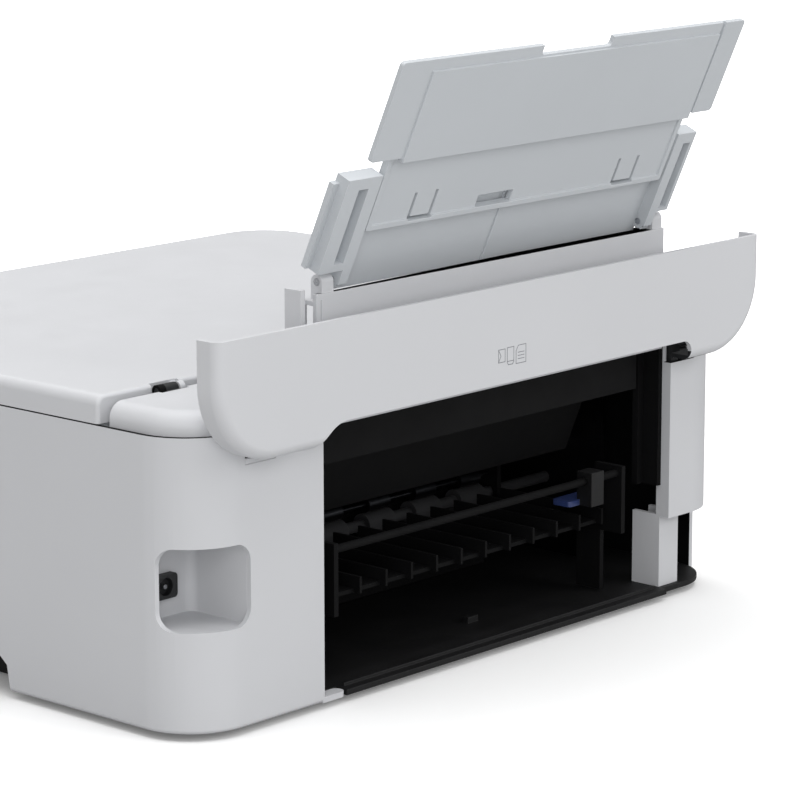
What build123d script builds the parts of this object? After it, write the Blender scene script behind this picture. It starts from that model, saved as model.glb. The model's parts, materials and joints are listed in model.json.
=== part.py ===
"""A4 inkjet all-in-one printer, rear feeder flap and paper support open.

X is to the right seen from the front, the front faces -Y, Z is up, and the
origin is the centre of the footprint on the surface it stands on. Millimetres.
"""
import os
from math import cos, pi, radians, sin

from build123d import *

os.makedirs("parts", exist_ok=True)

on_floor = (Align.CENTER, Align.CENTER, Align.MIN)

# ---------------------------------------------------------------- driving sizes
body_width = 403.0          # outside of the casing, side to side
body_depth = 347.0          # outside of the casing, front to back
seam_height = 143.7         # joint line between casing and document cover
lid_height = 13.8           # document cover, joint line to top
foot_height = 3.5
corner_radius = 32.0        # upright corners of the casing
wall = 2.5                  # casing wall
seam_gap = 0.6              # shadow gap along the joint lines
part_gap = 0.5              # between neighbouring moulded parts
run_gap = 0.05              # radial clearance of a turning shaft
slide_gap = 0.4             # between sliding parts

lid_setback = 59.5          # rear edge of the document cover, from the rear face
deck_gap = 4.0              # between document cover and rear deck
deck_drop = 2.8             # rear deck below the document cover
rear_open_left = -150.0     # straight paper path opening in the rear wall
rear_open_right = 114.0
rear_open_bottom = 6.5
jamb_depth = 8.4            # return of the rear opening

paper_width = 210.0
feed_centre = -14.0         # middle of the paper path
path_height = 54.0          # underside of a sheet in the straight path

flap_stand_off = 18.6       # outer face of the open feeder flap, from the rear face
flap_depth = 13.1           # depth of its rim
flap_wall = 2.3
flap_corner = 38.0
flap_drop = 10.7            # lower edge of its lobes, below the joint line
flap_hinge_inset = 3.0
flap_hinge_drop = 7.7

tower_left = -146.5         # pop-up wall that carries the paper support
tower_right = 123.8
tower_inset = 3.1           # its rear face, from the rear face of the casing
tower_rise = 55.9           # its top above the joint line
tower_depth = 12.0

support_lean = 24.0         # paper support behind the vertical
rail_depth = 8.0
pivot_inset = 3.9           # support pivot, from the rear face of the tower
pivot_rise = 5.0            # support pivot above the tower
pivot_radius = 3.6

shaft_radius = 4.0          # carriage shaft
roller_radius = 6.0         # feed and exit rollers
pinch_radius = 4.0
feed_y = 72.0
exit_y = -6.0
gear_module = 1.0

# ---------------------------------------------------------------- worked-out sizes
half_width = body_width / 2
half_depth = body_depth / 2
body_top = seam_height - seam_gap / 2
lid_bottom = seam_height + seam_gap / 2
lid_top = seam_height + lid_height
deck_top = lid_top - deck_drop
inner_width = body_width - 2 * wall
inner_depth = body_depth - 2 * wall
inner_radius = corner_radius - wall
lid_rear = half_depth - lid_setback
deck_front = lid_rear + deck_gap
flap_face = half_depth + flap_stand_off
flap_bottom = seam_height - flap_drop
flap_notch = seam_height + 0.1
flap_hinge_y = half_depth - flap_hinge_inset
flap_hinge_z = seam_height - flap_hinge_drop
tower_face = half_depth - tower_inset
tower_top = seam_height + tower_rise
tower_bottom = flap_hinge_z
support_y = tower_face - 0.9
support_z = tower_top + 0.4
pivot_y = tower_face - pivot_inset
pivot_z = tower_top + pivot_rise
rear_open_width = rear_open_right - rear_open_left
rear_open_centre = (rear_open_right + rear_open_left) / 2
roller_z = path_height - roller_radius


def block(x0, x1, y0, y1, z0, z1, mode=Mode.ADD):
    """A box between two corners."""
    with Locations(((x0 + x1) / 2, (y0 + y1) / 2, z0)):
        Box(x1 - x0, y1 - y0, z1 - z0, align=on_floor, mode=mode)


def rod_x(x0, x1, y, z, radius, mode=Mode.ADD):
    """A round bar along X."""
    with BuildSketch(Plane.YZ.offset(x0)) as end:
        with Locations((y, z)):
            Circle(radius)
    extrude(end.sketch, amount=x1 - x0, mode=mode)


def rod_y(x, y0, y1, z, radius, mode=Mode.ADD):
    """A round bar along Y."""
    with BuildSketch(Plane.XZ.offset(-y0)) as end:
        with Locations((x, z)):
            Circle(radius)
    extrude(end.sketch, amount=-(y1 - y0), mode=mode)


def gear_outline(teeth, backlash=0.5):
    """Straight-flanked teeth around a root circle."""
    pitch_radius = gear_module * teeth / 2
    root = pitch_radius - 1.1 * gear_module
    tip = pitch_radius + 0.75 * gear_module
    half_root = pi * root / teeth / 2 * (1.05 - backlash * 0.3)
    half_tip = 0.26 * gear_module
    Circle(root)
    with PolarLocations(0, teeth):
        Polygon(
            (root * 0.9, -half_root),
            (root, -half_root),
            (tip, -half_tip),
            (tip, half_tip),
            (root, half_root),
            (root * 0.9, half_root),
            align=None,
        )


# ================================================================ casing
grip_front = -75.0          # hand grips under both sides
grip_rear = 45.0
grip_top = 20.5
grip_reach = 19.0
grip_skin = 2.0
pillar_bottom = 44.7        # lower edge of the rear wall beside the opening
pillar_foot_x = -163.5
recess_bottom = 52.0        # power inlet recess in the rear right corner
recess_top = 91.5
recess_front = half_depth - 24.5
recess_side = half_width - 38.5
recess_depth = 39.5         # inner wall of the recess, from the rear face
recess_corner = 9.0         # rounded corners of its mouth
front_open_left = -140.0
front_open_right = 118.0
tie_lug_left = 99.0         # rounded lug at the foot of the rear opening
tie_lug_height = 2.8
tie_lug_reach = 7.0
leg_inset = 6.0             # leg under the cut-off rear wall, back from the rear face
leg_depth = 18.0
front_open_top = seam_height - 29.7
window_left = 134.0         # ink level window
window_right = 184.0
window_bottom = 30.0
window_top = 78.0
panel_gap = 1.0
panel_swing_gap = 2.2
panel_top = front_open_top - panel_swing_gap
panel_hinge_y = -half_depth + 5.5
panel_hinge_z = panel_top - 5.0
panel_pin_radius = 1.5
hinge_pocket_width = 20.0
hinge_pocket_depth = 13.0
hub_left = -170.0           # outer ends of the flap's two hinge pockets
hub_right = 166.0

with BuildPart() as recess_mouth:
    block(
        recess_side, half_width + 1, recess_front, half_depth + 1,
        recess_bottom, recess_top,
    )
    fillet(recess_mouth.edges().filter_by(Axis.X).group_by(Axis.Y)[0], radius=recess_corner)
    fillet(recess_mouth.edges().filter_by(Axis.Y).group_by(Axis.X)[0], radius=recess_corner)

with BuildPart() as body_shell:
    with BuildSketch(Plane.XY.offset(foot_height)):
        RectangleRounded(body_width, body_depth, corner_radius)
    extrude(amount=body_top - foot_height)
    fillet(body_shell.faces().sort_by(Axis.Z)[0].outer_wire().edges(), radius=wall * 0.9)
    with BuildSketch(Plane.XY.offset(foot_height)):
        RectangleRounded(inner_width, inner_depth, inner_radius)
    extrude(amount=body_top - foot_height, mode=Mode.SUBTRACT)
    # straight path opening with its side returns
    block(
        rear_open_left, rear_open_right, half_depth - 2 * wall, half_depth + 1,
        0, body_top + 1, Mode.SUBTRACT,
    )
    block(
        rear_open_left - wall, rear_open_left, half_depth - jamb_depth, half_depth - wall / 2,
        pillar_bottom, body_top,
    )
    # the rear wall left of the opening stops above the floor
    with BuildSketch(Plane.XZ.offset(-half_depth - 1)):
        with BuildLine():
            Polyline(
                (-half_width - 1, 0),
                (rear_open_left + 1, 0),
                (rear_open_left + 1, pillar_bottom),
                (-half_width - 1, pillar_bottom),
                close=True,
            )
        make_face()
    extrude(amount=corner_radius * 0.72, mode=Mode.SUBTRACT)
    # front opening for panel, tray and cassette
    block(
        front_open_left, front_open_right, -half_depth - 1, -half_depth + 2 * wall,
        0, front_open_top, Mode.SUBTRACT,
    )
    # hand grips
    for side in (-1, 1):
        with BuildSketch(Plane.YZ.offset(side * half_width)):
            with BuildLine():
                Polyline(
                    (grip_front - 4, 0),
                    (grip_front - 2, foot_height + 1),
                    (grip_front, grip_top - 4),
                    (grip_front + 4, grip_top),
                    (grip_rear - 3, grip_top),
                    (grip_rear + 2, grip_top - 4),
                    (grip_rear + 4, foot_height + 1),
                    (grip_rear + 6, 0),
                    close=True,
                )
            make_face()
        extrude(amount=-side * 2 * wall, mode=Mode.SUBTRACT)
    # ink level window
    with BuildSketch(Plane.XZ.offset(half_depth - 2 * wall)):
        with Locations(((window_left + window_right) / 2, (window_bottom + window_top) / 2)):
            RectangleRounded(window_right - window_left, window_top - window_bottom, 5)
    extrude(amount=3 * wall, mode=Mode.SUBTRACT)
    # pockets that the flap arms swing in
    for pocket in (hub_left, hub_right - hinge_pocket_width):
        block(
            pocket, pocket + hinge_pocket_width, half_depth - 2 * wall, half_depth + 1,
            flap_hinge_z - 8, body_top + 1, Mode.SUBTRACT,
        )
    # power inlet recess mouth, round the corner
    add(recess_mouth.part, mode=Mode.SUBTRACT)
    # lug at the foot of the opening
    block(
        tie_lug_left, rear_open_right + 1, half_depth - tie_lug_reach, half_depth,
        foot_height, foot_height + tie_lug_height,
    )
    lug_end = body_shell.edges().filter_by(Axis.Z).sort_by(SortBy.LENGTH)
    lug_end = lug_end.filter_by_position(Axis.X, tie_lug_left - 0.1, tie_lug_left + 0.1)
    fillet(lug_end, radius=tie_lug_reach * 0.45)
    # leg under the cut-off part of the rear wall
    leg_rear = half_depth - leg_inset
    for leg_x in (pillar_foot_x - wall, rear_open_left - wall):
        block(
            leg_x, leg_x + wall, leg_rear - leg_depth, leg_rear,
            rear_open_bottom, pillar_bottom + 1,
        )
    block(
        pillar_foot_x - wall, rear_open_left, leg_rear - wall, leg_rear,
        rear_open_bottom, pillar_bottom + 1,
    )
    # lugs and pins that the control panel hangs on
    for lug in (front_open_left - wall, front_open_right):
        block(
            lug, lug + wall, -half_depth + wall / 2, panel_hinge_y + 4,
            panel_hinge_z - 3, panel_hinge_z + 3,
        )
    rod_x(front_open_left - wall, front_open_left + 6, panel_hinge_y, panel_hinge_z, panel_pin_radius)
    rod_x(front_open_right - 6, front_open_right + wall, panel_hinge_y, panel_hinge_z, panel_pin_radius)
body_shell.part.label = "body_shell"
export_step(body_shell.part, "parts/body_shell.step")

tray_thick = rear_open_bottom - foot_height
lip_inset = 6.5
lip_width = 1.4
lip_height = 1.6
stop_x = -36.0
stop_y = half_depth - 37.5
stop_width = 8.0
with BuildPart() as base_tray:
    with BuildSketch(Plane.XY.offset(foot_height)):
        RectangleRounded(inner_width - 2 * part_gap, inner_depth - 2 * part_gap, inner_radius - part_gap)
        with Locations((rear_open_centre, half_depth - wall)):
            Rectangle(rear_open_width - 2 * part_gap, 2 * wall)
        for side in (-1, 1):
            with Locations((side * half_width, (grip_front + grip_rear) / 2)):
                Rectangle(2 * grip_reach, grip_rear - grip_front + 14, mode=Mode.SUBTRACT)
    extrude(amount=tray_thick)
    # room for the casing's lug
    block(
        tie_lug_left - part_gap, rear_open_right + 1 + part_gap, half_depth - tie_lug_reach - part_gap, half_depth + 1,
        0, rear_open_bottom + 1, Mode.SUBTRACT,
    )
    # lip along the rear edge of the floor, and a stop for the card cover
    block(
        rear_open_left + 4, tie_lug_left - 4, half_depth - lip_inset, half_depth - lip_inset + lip_width,
        rear_open_bottom, rear_open_bottom + lip_height,
    )
    block(
        stop_x, stop_x + stop_width, stop_y, stop_y + stop_width / 2,
        rear_open_bottom, rear_open_bottom + 2 * lip_height,
    )
    # liners of the hand grips
    for side in (-1, 1):
        inner_x = side * (half_width - grip_reach)
        outer_x = side * (half_width - wall - part_gap)
        back_x = inner_x - side * grip_skin
        block(
            min(back_x, outer_x), max(back_x, outer_x), grip_front - 4, grip_rear + 4,
            grip_top, grip_top + grip_skin,
        )
        block(
            min(inner_x, back_x), max(inner_x, back_x), grip_front - 8, grip_rear + 8,
            foot_height, grip_top + grip_skin,
        )
base_tray.part.label = "base_tray"
export_step(base_tray.part, "parts/base_tray.step")

foot_radius = 9.0
foot_inset = 34.0
with BuildPart() as feet:
    with BuildSketch(Plane.XY):
        with GridLocations(body_width - 2 * foot_inset, body_depth - 2 * foot_inset, 2, 2):
            Circle(foot_radius)
        Circle(foot_radius)
    extrude(amount=foot_height)
    chamfer(feet.faces().group_by(Axis.Z)[0].edges(), length=0.8)
feet.part.label = "feet"
export_step(feet.part, "parts/feet.step")

# ================================================================ power inlet
liner = 2.0
recess_wall_y = half_depth - recess_depth
inlet_x = half_width - 14.9
inlet_z = recess_bottom + 15.4
inlet_width = 23.6
inlet_height = 11.8
inlet_reach = 3.5
inlet_pin_pitch = 8.6
inlet_lobe_radius = 4.3
inlet_pin_radius = 1.15
with BuildPart() as inlet_recess:
    with BuildSketch(Plane.XY.offset(recess_bottom - liner)):
        RectangleRounded(inner_width - 0.2, inner_depth - 0.2, inner_radius - 0.1)
        with Locations((recess_side - liner, recess_wall_y - liner)):
            Rectangle(body_width, body_depth, align=(Align.MIN, Align.MIN), mode=Mode.INTERSECT)
    extrude(amount=recess_top - recess_bottom + 2 * liner)
    with BuildSketch(Plane.XY.offset(recess_bottom)) as pocket_plan:
        with Locations((recess_side, recess_wall_y)):
            Rectangle(body_width, body_depth, align=(Align.MIN, Align.MIN))
        fillet(pocket_plan.vertices().sort_by(Axis.X)[0:2].sort_by(Axis.Y)[0], radius=5)
    extrude(amount=recess_top - recess_bottom, mode=Mode.SUBTRACT)
inlet_recess.part.label = "inlet_recess"
export_step(inlet_recess.part, "parts/inlet_recess.step")

inlet_pins = (inlet_x - inlet_pin_pitch / 2, inlet_x + inlet_pin_pitch / 2)
with BuildPart() as power_inlet:
    with BuildSketch(Plane.XZ.offset(-recess_wall_y)):
        with Locations((inlet_x, inlet_z)):
            RectangleRounded(inlet_width, inlet_height, 2)
    extrude(amount=-inlet_reach)
    with BuildSketch(Plane.XZ.offset(-recess_wall_y - inlet_reach)):
        with Locations(*[(pin_x, inlet_z) for pin_x in inlet_pins]):
            Circle(inlet_lobe_radius)
        with Locations((inlet_x, inlet_z)):
            Rectangle(inlet_pin_pitch, inlet_lobe_radius * 1.2)
    extrude(amount=inlet_reach - 0.2, mode=Mode.SUBTRACT)
    for pin_x in inlet_pins:
        rod_y(pin_x, recess_wall_y + 0.1, recess_wall_y + inlet_reach - 0.5, inlet_z, inlet_pin_radius)
power_inlet.part.label = "power_inlet"
export_step(power_inlet.part, "parts/power_inlet.step")

psu_left = half_width - 48.5
psu_right = half_width - 7.5
psu_front = 56.0
psu_rear = 140.0
vent_count = 9
vent_pitch = 8.0
vent_width = 3.0
psu_top = recess_bottom - liner - 2
with BuildPart() as power_supply:
    block(psu_left, psu_right, psu_front, psu_rear, rear_open_bottom, psu_top)
    fillet(power_supply.edges().filter_by(Axis.Z), radius=2)
    for vent in range(vent_count):
        vent_y = psu_front + 8.5 + vent * vent_pitch
        block(
            psu_left + 6, psu_right - 6, vent_y, vent_y + vent_width,
            psu_top - 2, psu_top + 1, Mode.SUBTRACT,
        )
power_supply.part.label = "power_supply"
export_step(power_supply.part, "parts/power_supply.step")

# ================================================================ scanner unit
scan_bottom = seam_height - 26.7
scan_inset = wall + 0.8
scan_rear = lid_rear - 2.0
scan_top = seam_height - 0.3
scan_wall = 2.5
hinge_y = (lid_rear + deck_front) / 2
hinge_z = seam_height + 10.7
hinge_pin_radius = 1.5
knuckle_radius = 2.9
knuckle_gap = 0.6           # between the knuckles of one hinge
hinge_space = 18.0          # width of each hinge recess
hinge_lefts = (-167.0, 149.0)
scanner_ear = 3.7
lid_ear = 3.4
bracket_width = 8.0
pin_length = 16.4
glass_x = 310.0
glass_y = 226.0
glass_thick = 3.0
glass_centre_y = -30.0
frame_thick = 2.5
scan_front_play = 2.4       # the front edge swings forward as the unit tips up
cis_rod_y = -30.0
cis_rod_z = scan_bottom + 8.0
cis_rod_radius = 3.0

# each hinge, from its outer end: scanner ear, fixed bracket, cover ear
scanner_ears = (hinge_lefts[0] + 1.0, hinge_lefts[1] + hinge_space - 1.0 - scanner_ear)
bracket_lefts = (
    scanner_ears[0] + scanner_ear + 0.7,
    scanner_ears[1] - 0.3 - bracket_width,
)
lid_ears = (hinge_lefts[0] + hinge_space - 0.6 - lid_ear, hinge_lefts[1] + knuckle_gap)
pin_lefts = (scanner_ears[0], lid_ears[1])

scan_half_x = half_width - scan_inset
scan_front = -half_depth + scan_inset + scan_front_play
scan_depth = scan_rear - scan_front


def scanner_outline(inset=0.0):
    """Plan of the scanner unit: rounded front corners, square at the rear."""
    radius = corner_radius - scan_inset - inset
    with Locations((0, (scan_rear + scan_front) / 2)):
        Rectangle(2 * (scan_half_x - inset), scan_depth - 2 * inset)
    return radius


with BuildPart() as scanner_tub:
    with BuildSketch(Plane.XY.offset(scan_bottom)) as tub_outer:
        tub_radius = scanner_outline()
        fillet(tub_outer.vertices().group_by(Axis.Y)[0], radius=tub_radius)
    extrude(amount=scan_top - frame_thick - scan_bottom)
    with BuildSketch(Plane.XY.offset(scan_bottom + scan_wall)) as tub_inner:
        tub_radius = scanner_outline(scan_wall)
        fillet(tub_inner.vertices().group_by(Axis.Y)[0], radius=tub_radius)
    extrude(amount=body_top, mode=Mode.SUBTRACT)
    # ledges that carry the glass
    for side in (-1, 1):
        block(
            min(side * glass_x / 2, side * (glass_x / 2 - 6)),
            max(side * glass_x / 2, side * (glass_x / 2 - 6)),
            glass_centre_y - glass_y / 2, glass_centre_y + glass_y / 2,
            scan_bottom + scan_wall, scan_top - frame_thick - glass_thick,
        )
    # ends of the sensor rod
    rod_x(-scan_half_x + scan_wall, -scan_half_x + scan_wall + 6, cis_rod_y, cis_rod_z, 5)
    rod_x(scan_half_x - scan_wall - 6, scan_half_x - scan_wall, cis_rod_y, cis_rod_z, 5)
    rod_x(-scan_half_x + 2, scan_half_x - 2, cis_rod_y, cis_rod_z, cis_rod_radius, Mode.SUBTRACT)
    # hinge ears
    for ear in scanner_ears:
        ear_end = ear + scanner_ear
        block(
            ear, ear_end, scan_rear - scan_wall, hinge_y + 2,
            scan_bottom + 8, scan_top - frame_thick - 4,
        )
        block(ear, ear_end, hinge_y - 2, hinge_y + 2, scan_bottom + 8, hinge_z)
        rod_x(ear, ear_end, hinge_y, hinge_z, knuckle_radius)
        rod_x(ear - 1, ear_end + 1, hinge_y, hinge_z, hinge_pin_radius + run_gap, Mode.SUBTRACT)
scanner_tub.part.label = "scanner_tub"
export_step(scanner_tub.part, "parts/scanner_tub.step")

with BuildPart() as glass_frame:
    with BuildSketch(Plane.XY.offset(scan_top - frame_thick)) as top_outer:
        tub_radius = scanner_outline()
        fillet(top_outer.vertices().group_by(Axis.Y)[0], radius=tub_radius)
        with Locations((0, glass_centre_y)):
            Rectangle(glass_x - 12, glass_y - 8, mode=Mode.SUBTRACT)
    extrude(amount=frame_thick)
glass_frame.part.label = "glass_frame"
export_step(glass_frame.part, "parts/glass_frame.step")

with BuildPart() as scanner_glass:
    block(
        -glass_x / 2, glass_x / 2, glass_centre_y - glass_y / 2, glass_centre_y + glass_y / 2,
        scan_top - frame_thick - glass_thick, scan_top - frame_thick,
    )
scanner_glass.part.label = "scanner_glass"
export_step(scanner_glass.part, "parts/scanner_glass.step")

with BuildPart() as sensor_rod:
    rod_x(-scan_half_x + 2, scan_half_x - 2, cis_rod_y, cis_rod_z, cis_rod_radius)
sensor_rod.part.label = "sensor_rod"
export_step(sensor_rod.part, "parts/sensor_rod.step")

cis_half_width = 9.0
cis_home = -130.0
with BuildPart() as sensor_bar:
    block(
        cis_home - cis_half_width, cis_home + cis_half_width,
        glass_centre_y - glass_y / 2 + 6, glass_centre_y + glass_y / 2 - 6,
        cis_rod_z - 3.5, scan_top - frame_thick - glass_thick - slide_gap,
    )
    rod_x(cis_home - cis_half_width, cis_home + cis_half_width, cis_rod_y, cis_rod_z, cis_rod_radius + run_gap, Mode.SUBTRACT)
    block(
        cis_home - 4, cis_home + 4,
        glass_centre_y - glass_y / 2 + 10, glass_centre_y + glass_y / 2 - 10,
        scan_top - frame_thick - glass_thick - slide_gap - 1, scan_top, Mode.SUBTRACT,
    )
sensor_bar.part.label = "sensor_bar"
export_step(sensor_bar.part, "parts/sensor_bar.step")

# ================================================================ document cover
lid_edge = 5.0
lid_skin = 2.8
pad_thick = 4.0
with BuildPart() as lid:
    with BuildSketch(Plane.XY.offset(lid_bottom)) as lid_plan:
        with Locations((0, (lid_rear - half_depth) / 2)):
            Rectangle(body_width, lid_rear + half_depth)
        fillet(lid_plan.vertices().group_by(Axis.Y)[0], radius=corner_radius)
    extrude(amount=lid_top - lid_bottom)
    lid_outer = lid.edges().group_by(Axis.Z)[-1]
    fillet(lid_outer.sort_by(Axis.Y)[:-1], radius=lid_edge)
    fillet(lid.edges().group_by(Axis.Z)[-1].sort_by(Axis.Y)[-1:], radius=2)
    with BuildSketch(Plane.XY.offset(lid_bottom)) as lid_hollow:
        with Locations((0, (lid_rear - half_depth) / 2)):
            Rectangle(body_width - 2 * lid_skin, lid_rear + half_depth - 2 * lid_skin)
        fillet(lid_hollow.vertices().group_by(Axis.Y)[0], radius=corner_radius - lid_skin)
    extrude(amount=lid_top - lid_bottom - lid_edge - 1, mode=Mode.SUBTRACT)
    for recess, ear in zip(hinge_lefts, lid_ears):
        block(recess, recess + hinge_space, lid_rear - 2.6, lid_rear + 1, 0, lid_top + 1, Mode.SUBTRACT)
        block(ear, ear + lid_ear, lid_rear - 4, hinge_y, hinge_z - 2, hinge_z + 2)
        rod_x(ear, ear + lid_ear, hinge_y, hinge_z, knuckle_radius)
        rod_x(ear - 1, ear + lid_ear + 1, hinge_y, hinge_z, hinge_pin_radius + run_gap, Mode.SUBTRACT)
lid.part.label = "lid"
export_step(lid.part, "parts/lid.step")

with BuildPart() as lid_pad:
    with BuildSketch(Plane.XY.offset(lid_bottom + 0.2)):
        with Locations((0, glass_centre_y)):
            RectangleRounded(glass_x - 2, glass_y - 2, 4)
    extrude(amount=lid_top - lid_edge - 1 - lid_bottom - 0.2)
lid_pad.part.label = "lid_pad"
export_step(lid_pad.part, "parts/lid_pad.step")

with BuildPart() as lid_hinges:
    for pin_left, bracket_left in zip(pin_lefts, bracket_lefts):
        bracket_right = bracket_left + bracket_width
        rod_x(pin_left, pin_left + pin_length, hinge_y, hinge_z, hinge_pin_radius)
        rod_x(bracket_left, bracket_right, hinge_y, hinge_z, knuckle_radius)
        block(bracket_left, bracket_right, hinge_y, deck_front + 3, seam_height - 4, hinge_z)
lid_hinges.part.label = "lid_hinges"
export_step(lid_hinges.part, "parts/lid_hinges.step")

# ================================================================ rear deck
deck_inset = wall + part_gap
deck_skirt = 6.0
deck_skin = 2.5
throat_left = -150.0        # mouth of the rear feeder
throat_right = 128.0
throat_front = deck_front + 8.0

with BuildPart() as rear_deck:
    with BuildSketch(Plane.XY.offset(seam_height - deck_skirt)) as deck_plan:
        with Locations((0, (deck_front + half_depth - deck_inset) / 2)):
            Rectangle(body_width - 2 * deck_inset, half_depth - deck_inset - deck_front)
        fillet(deck_plan.vertices().group_by(Axis.Y)[-1], radius=corner_radius - deck_inset)
    extrude(amount=deck_top - seam_height + deck_skirt)
    deck_edges = rear_deck.edges().group_by(Axis.Z)[-1].sort_by(Axis.Y)
    fillet(deck_edges[1:], radius=8)
    fillet(rear_deck.edges().group_by(Axis.Z)[-1].sort_by(Axis.Y)[:1], radius=1)
    with BuildSketch(Plane.XY.offset(seam_height - deck_skirt)) as deck_hollow:
        with Locations((0, (deck_front + half_depth - deck_inset) / 2)):
            Rectangle(
                body_width - 2 * (deck_inset + deck_skin),
                half_depth - deck_inset - deck_front - 2 * deck_skin,
            )
        fillet(deck_hollow.vertices().group_by(Axis.Y)[-1], radius=corner_radius - deck_inset - deck_skin)
    extrude(amount=deck_top - seam_height + deck_skirt - 8.5, mode=Mode.SUBTRACT)
    block(throat_left, throat_right, throat_front, half_depth, 0, deck_top + 1, Mode.SUBTRACT)
    # pockets for the hinge knuckles and the flap arms
    for recess in hinge_lefts:
        block(
            recess, recess + hinge_space, deck_front - 1, deck_front + 3,
            0, deck_top + 1, Mode.SUBTRACT,
        )
    for pocket in (hub_left, hub_right - hinge_pocket_width):
        block(
            pocket, pocket + hinge_pocket_width, half_depth - hinge_pocket_depth, half_depth + 1,
            0, deck_top + 1, Mode.SUBTRACT,
        )
rear_deck.part.label = "rear_deck"
export_step(rear_deck.part, "parts/rear_deck.step")

# ================================================================ feeder flap
flap_top = flap_hinge_z + flap_hinge_y - lid_rear - part_gap
flap_pin_radius = 2.5
flap_ring_radius = 5.0
hub_radius = 6.2
hub_length = 6.0
arm_width = 7.0
flap_edge = 5.5
notch_left = -143.0
notch_right = 116.0

with BuildPart() as flap:
    with BuildSketch(Plane.XZ.offset(-flap_face)) as flap_plan:
        with Locations((0, (flap_top + flap_bottom) / 2)):
            Rectangle(body_width, flap_top - flap_bottom)
        fillet(flap_plan.vertices().group_by(Axis.Y)[0], radius=flap_corner)
    extrude(amount=flap_depth)
    outer_rim = flap.faces().sort_by(Axis.Y)[-1].outer_wire().edges().sort_by(Axis.Z)
    fillet(outer_rim[:-1], radius=flap_edge)
    with BuildSketch(Plane.XZ.offset(-flap_face + flap_wall)) as flap_hollow:
        with Locations((0, (flap_top + flap_bottom) / 2 + flap_wall)):
            Rectangle(body_width - 2 * flap_wall, flap_top - flap_bottom)
        fillet(flap_hollow.vertices().group_by(Axis.Y)[0], radius=flap_corner - flap_wall)
    extrude(amount=flap_depth, mode=Mode.SUBTRACT)
    # notch that clears the straight paper path
    with BuildSketch(Plane.XZ.offset(-flap_face - 1)):
        with BuildLine():
            Polyline(
                (notch_left + 6, flap_notch),
                (notch_right, flap_notch),
            )
            Spline(
                (notch_right, flap_notch),
                (notch_right + 14, (flap_notch + flap_bottom) / 2),
                (notch_right + 28, flap_bottom - 1),
                tangents=((1, 0), (1, 0)),
            )
            Polyline(
                (notch_right + 28, flap_bottom - 1),
                (notch_left, flap_bottom - 1),
                (notch_left, flap_notch - 6),
            )
            JernArc((notch_left, flap_notch - 6), (0, 1), 6, -90)
        make_face()
    extrude(amount=flap_depth + 2, mode=Mode.SUBTRACT)
    # arms down to the hinge
    for arm in (hub_left + 3, hub_right - 3 - arm_width):
        block(arm, arm + arm_width, flap_hinge_y, flap_face - 1, flap_hinge_z, flap_hinge_z + 4)
        rod_x(arm, arm + arm_width, flap_hinge_y, flap_hinge_z, flap_ring_radius)
        rod_x(arm - 1, arm + arm_width + 1, flap_hinge_y, flap_hinge_z, flap_pin_radius + run_gap, Mode.SUBTRACT)
flap.part.label = "flap"
export_step(flap.part, "parts/flap.step")

with BuildPart() as flap_hubs:
    for hub_start, stub in (
        (hub_left + 3 + arm_width + part_gap, -1),
        (hub_right - 3 - arm_width - part_gap - hub_length, 1),
    ):
        with BuildSketch(Plane.YZ.offset(hub_start)):
            with Locations((flap_hinge_y, flap_hinge_z)):
                Circle(hub_radius)
                with PolarLocations(hub_radius, 16):
                    Circle(0.7, mode=Mode.SUBTRACT)
        extrude(amount=hub_length)
        pin_start = hub_start - arm_width - 1 if stub < 0 else hub_start + hub_length
        rod_x(pin_start, pin_start + arm_width + 1, flap_hinge_y, flap_hinge_z, flap_pin_radius)
        block(
            hub_start, hub_start + hub_length, half_depth - wall - 6, half_depth - wall,
            flap_hinge_z - 16, flap_hinge_z,
        )
flap_hubs.part.label = "flap_hubs"
export_step(flap_hubs.part, "parts/flap_hubs.step")

# ================================================================ pop-up tower
tower_skin = 2.4
tower_fin = 3.0
tower_end = 9.0             # width of the stepped right end
shelf_drop = 3.2            # top shelf below the upper edge of the rear wall
support_pin_radius = 1.8
tower_back = tower_face - tower_depth
shelf_top = tower_top - shelf_drop
barrels = (
    (tower_left + 1.5, 8.0),
    (tower_right - 21.0, 8.0),
)

with BuildPart() as tower:
    block(
        tower_left, tower_right - tower_end, tower_face - tower_skin, tower_face,
        tower_bottom, tower_top,
    )
    block(tower_left, tower_right - tower_end, tower_back, tower_face, shelf_top - tower_skin, shelf_top)
    block(tower_left, tower_left + tower_skin, tower_back, tower_face, tower_bottom, tower_top)
    # stepped right end: post, groove and outer fin
    block(
        tower_right - tower_end - 1, tower_right, tower_back, tower_face - 7,
        tower_bottom, shelf_top,
    )
    block(tower_right - tower_fin, tower_right, tower_back, tower_face - 1.5, tower_bottom, tower_top + 3)
    for rib in range(6):
        rib_x = tower_left + 24 + rib * 42
        block(rib_x, rib_x + 1.6, tower_back + 1, tower_face, tower_bottom, shelf_top)
    for barrel, barrel_length in barrels:
        rod_x(barrel, barrel + barrel_length, pivot_y, pivot_z, pivot_radius)
        block(
            barrel, barrel + barrel_length, pivot_y - pivot_radius, pivot_y + pivot_radius,
            shelf_top - 1, pivot_z,
        )
        rod_x(barrel - 1, barrel + barrel_length + 1, pivot_y, pivot_z, support_pin_radius + run_gap, Mode.SUBTRACT)
    # panel lines near the right end
    block(tower_right - 12.5, tower_right - 12.0, tower_face - 0.8, tower_face + 1, 0, tower_top - 3, Mode.SUBTRACT)
tower.part.label = "tower"
export_step(tower.part, "parts/tower.step")

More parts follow.
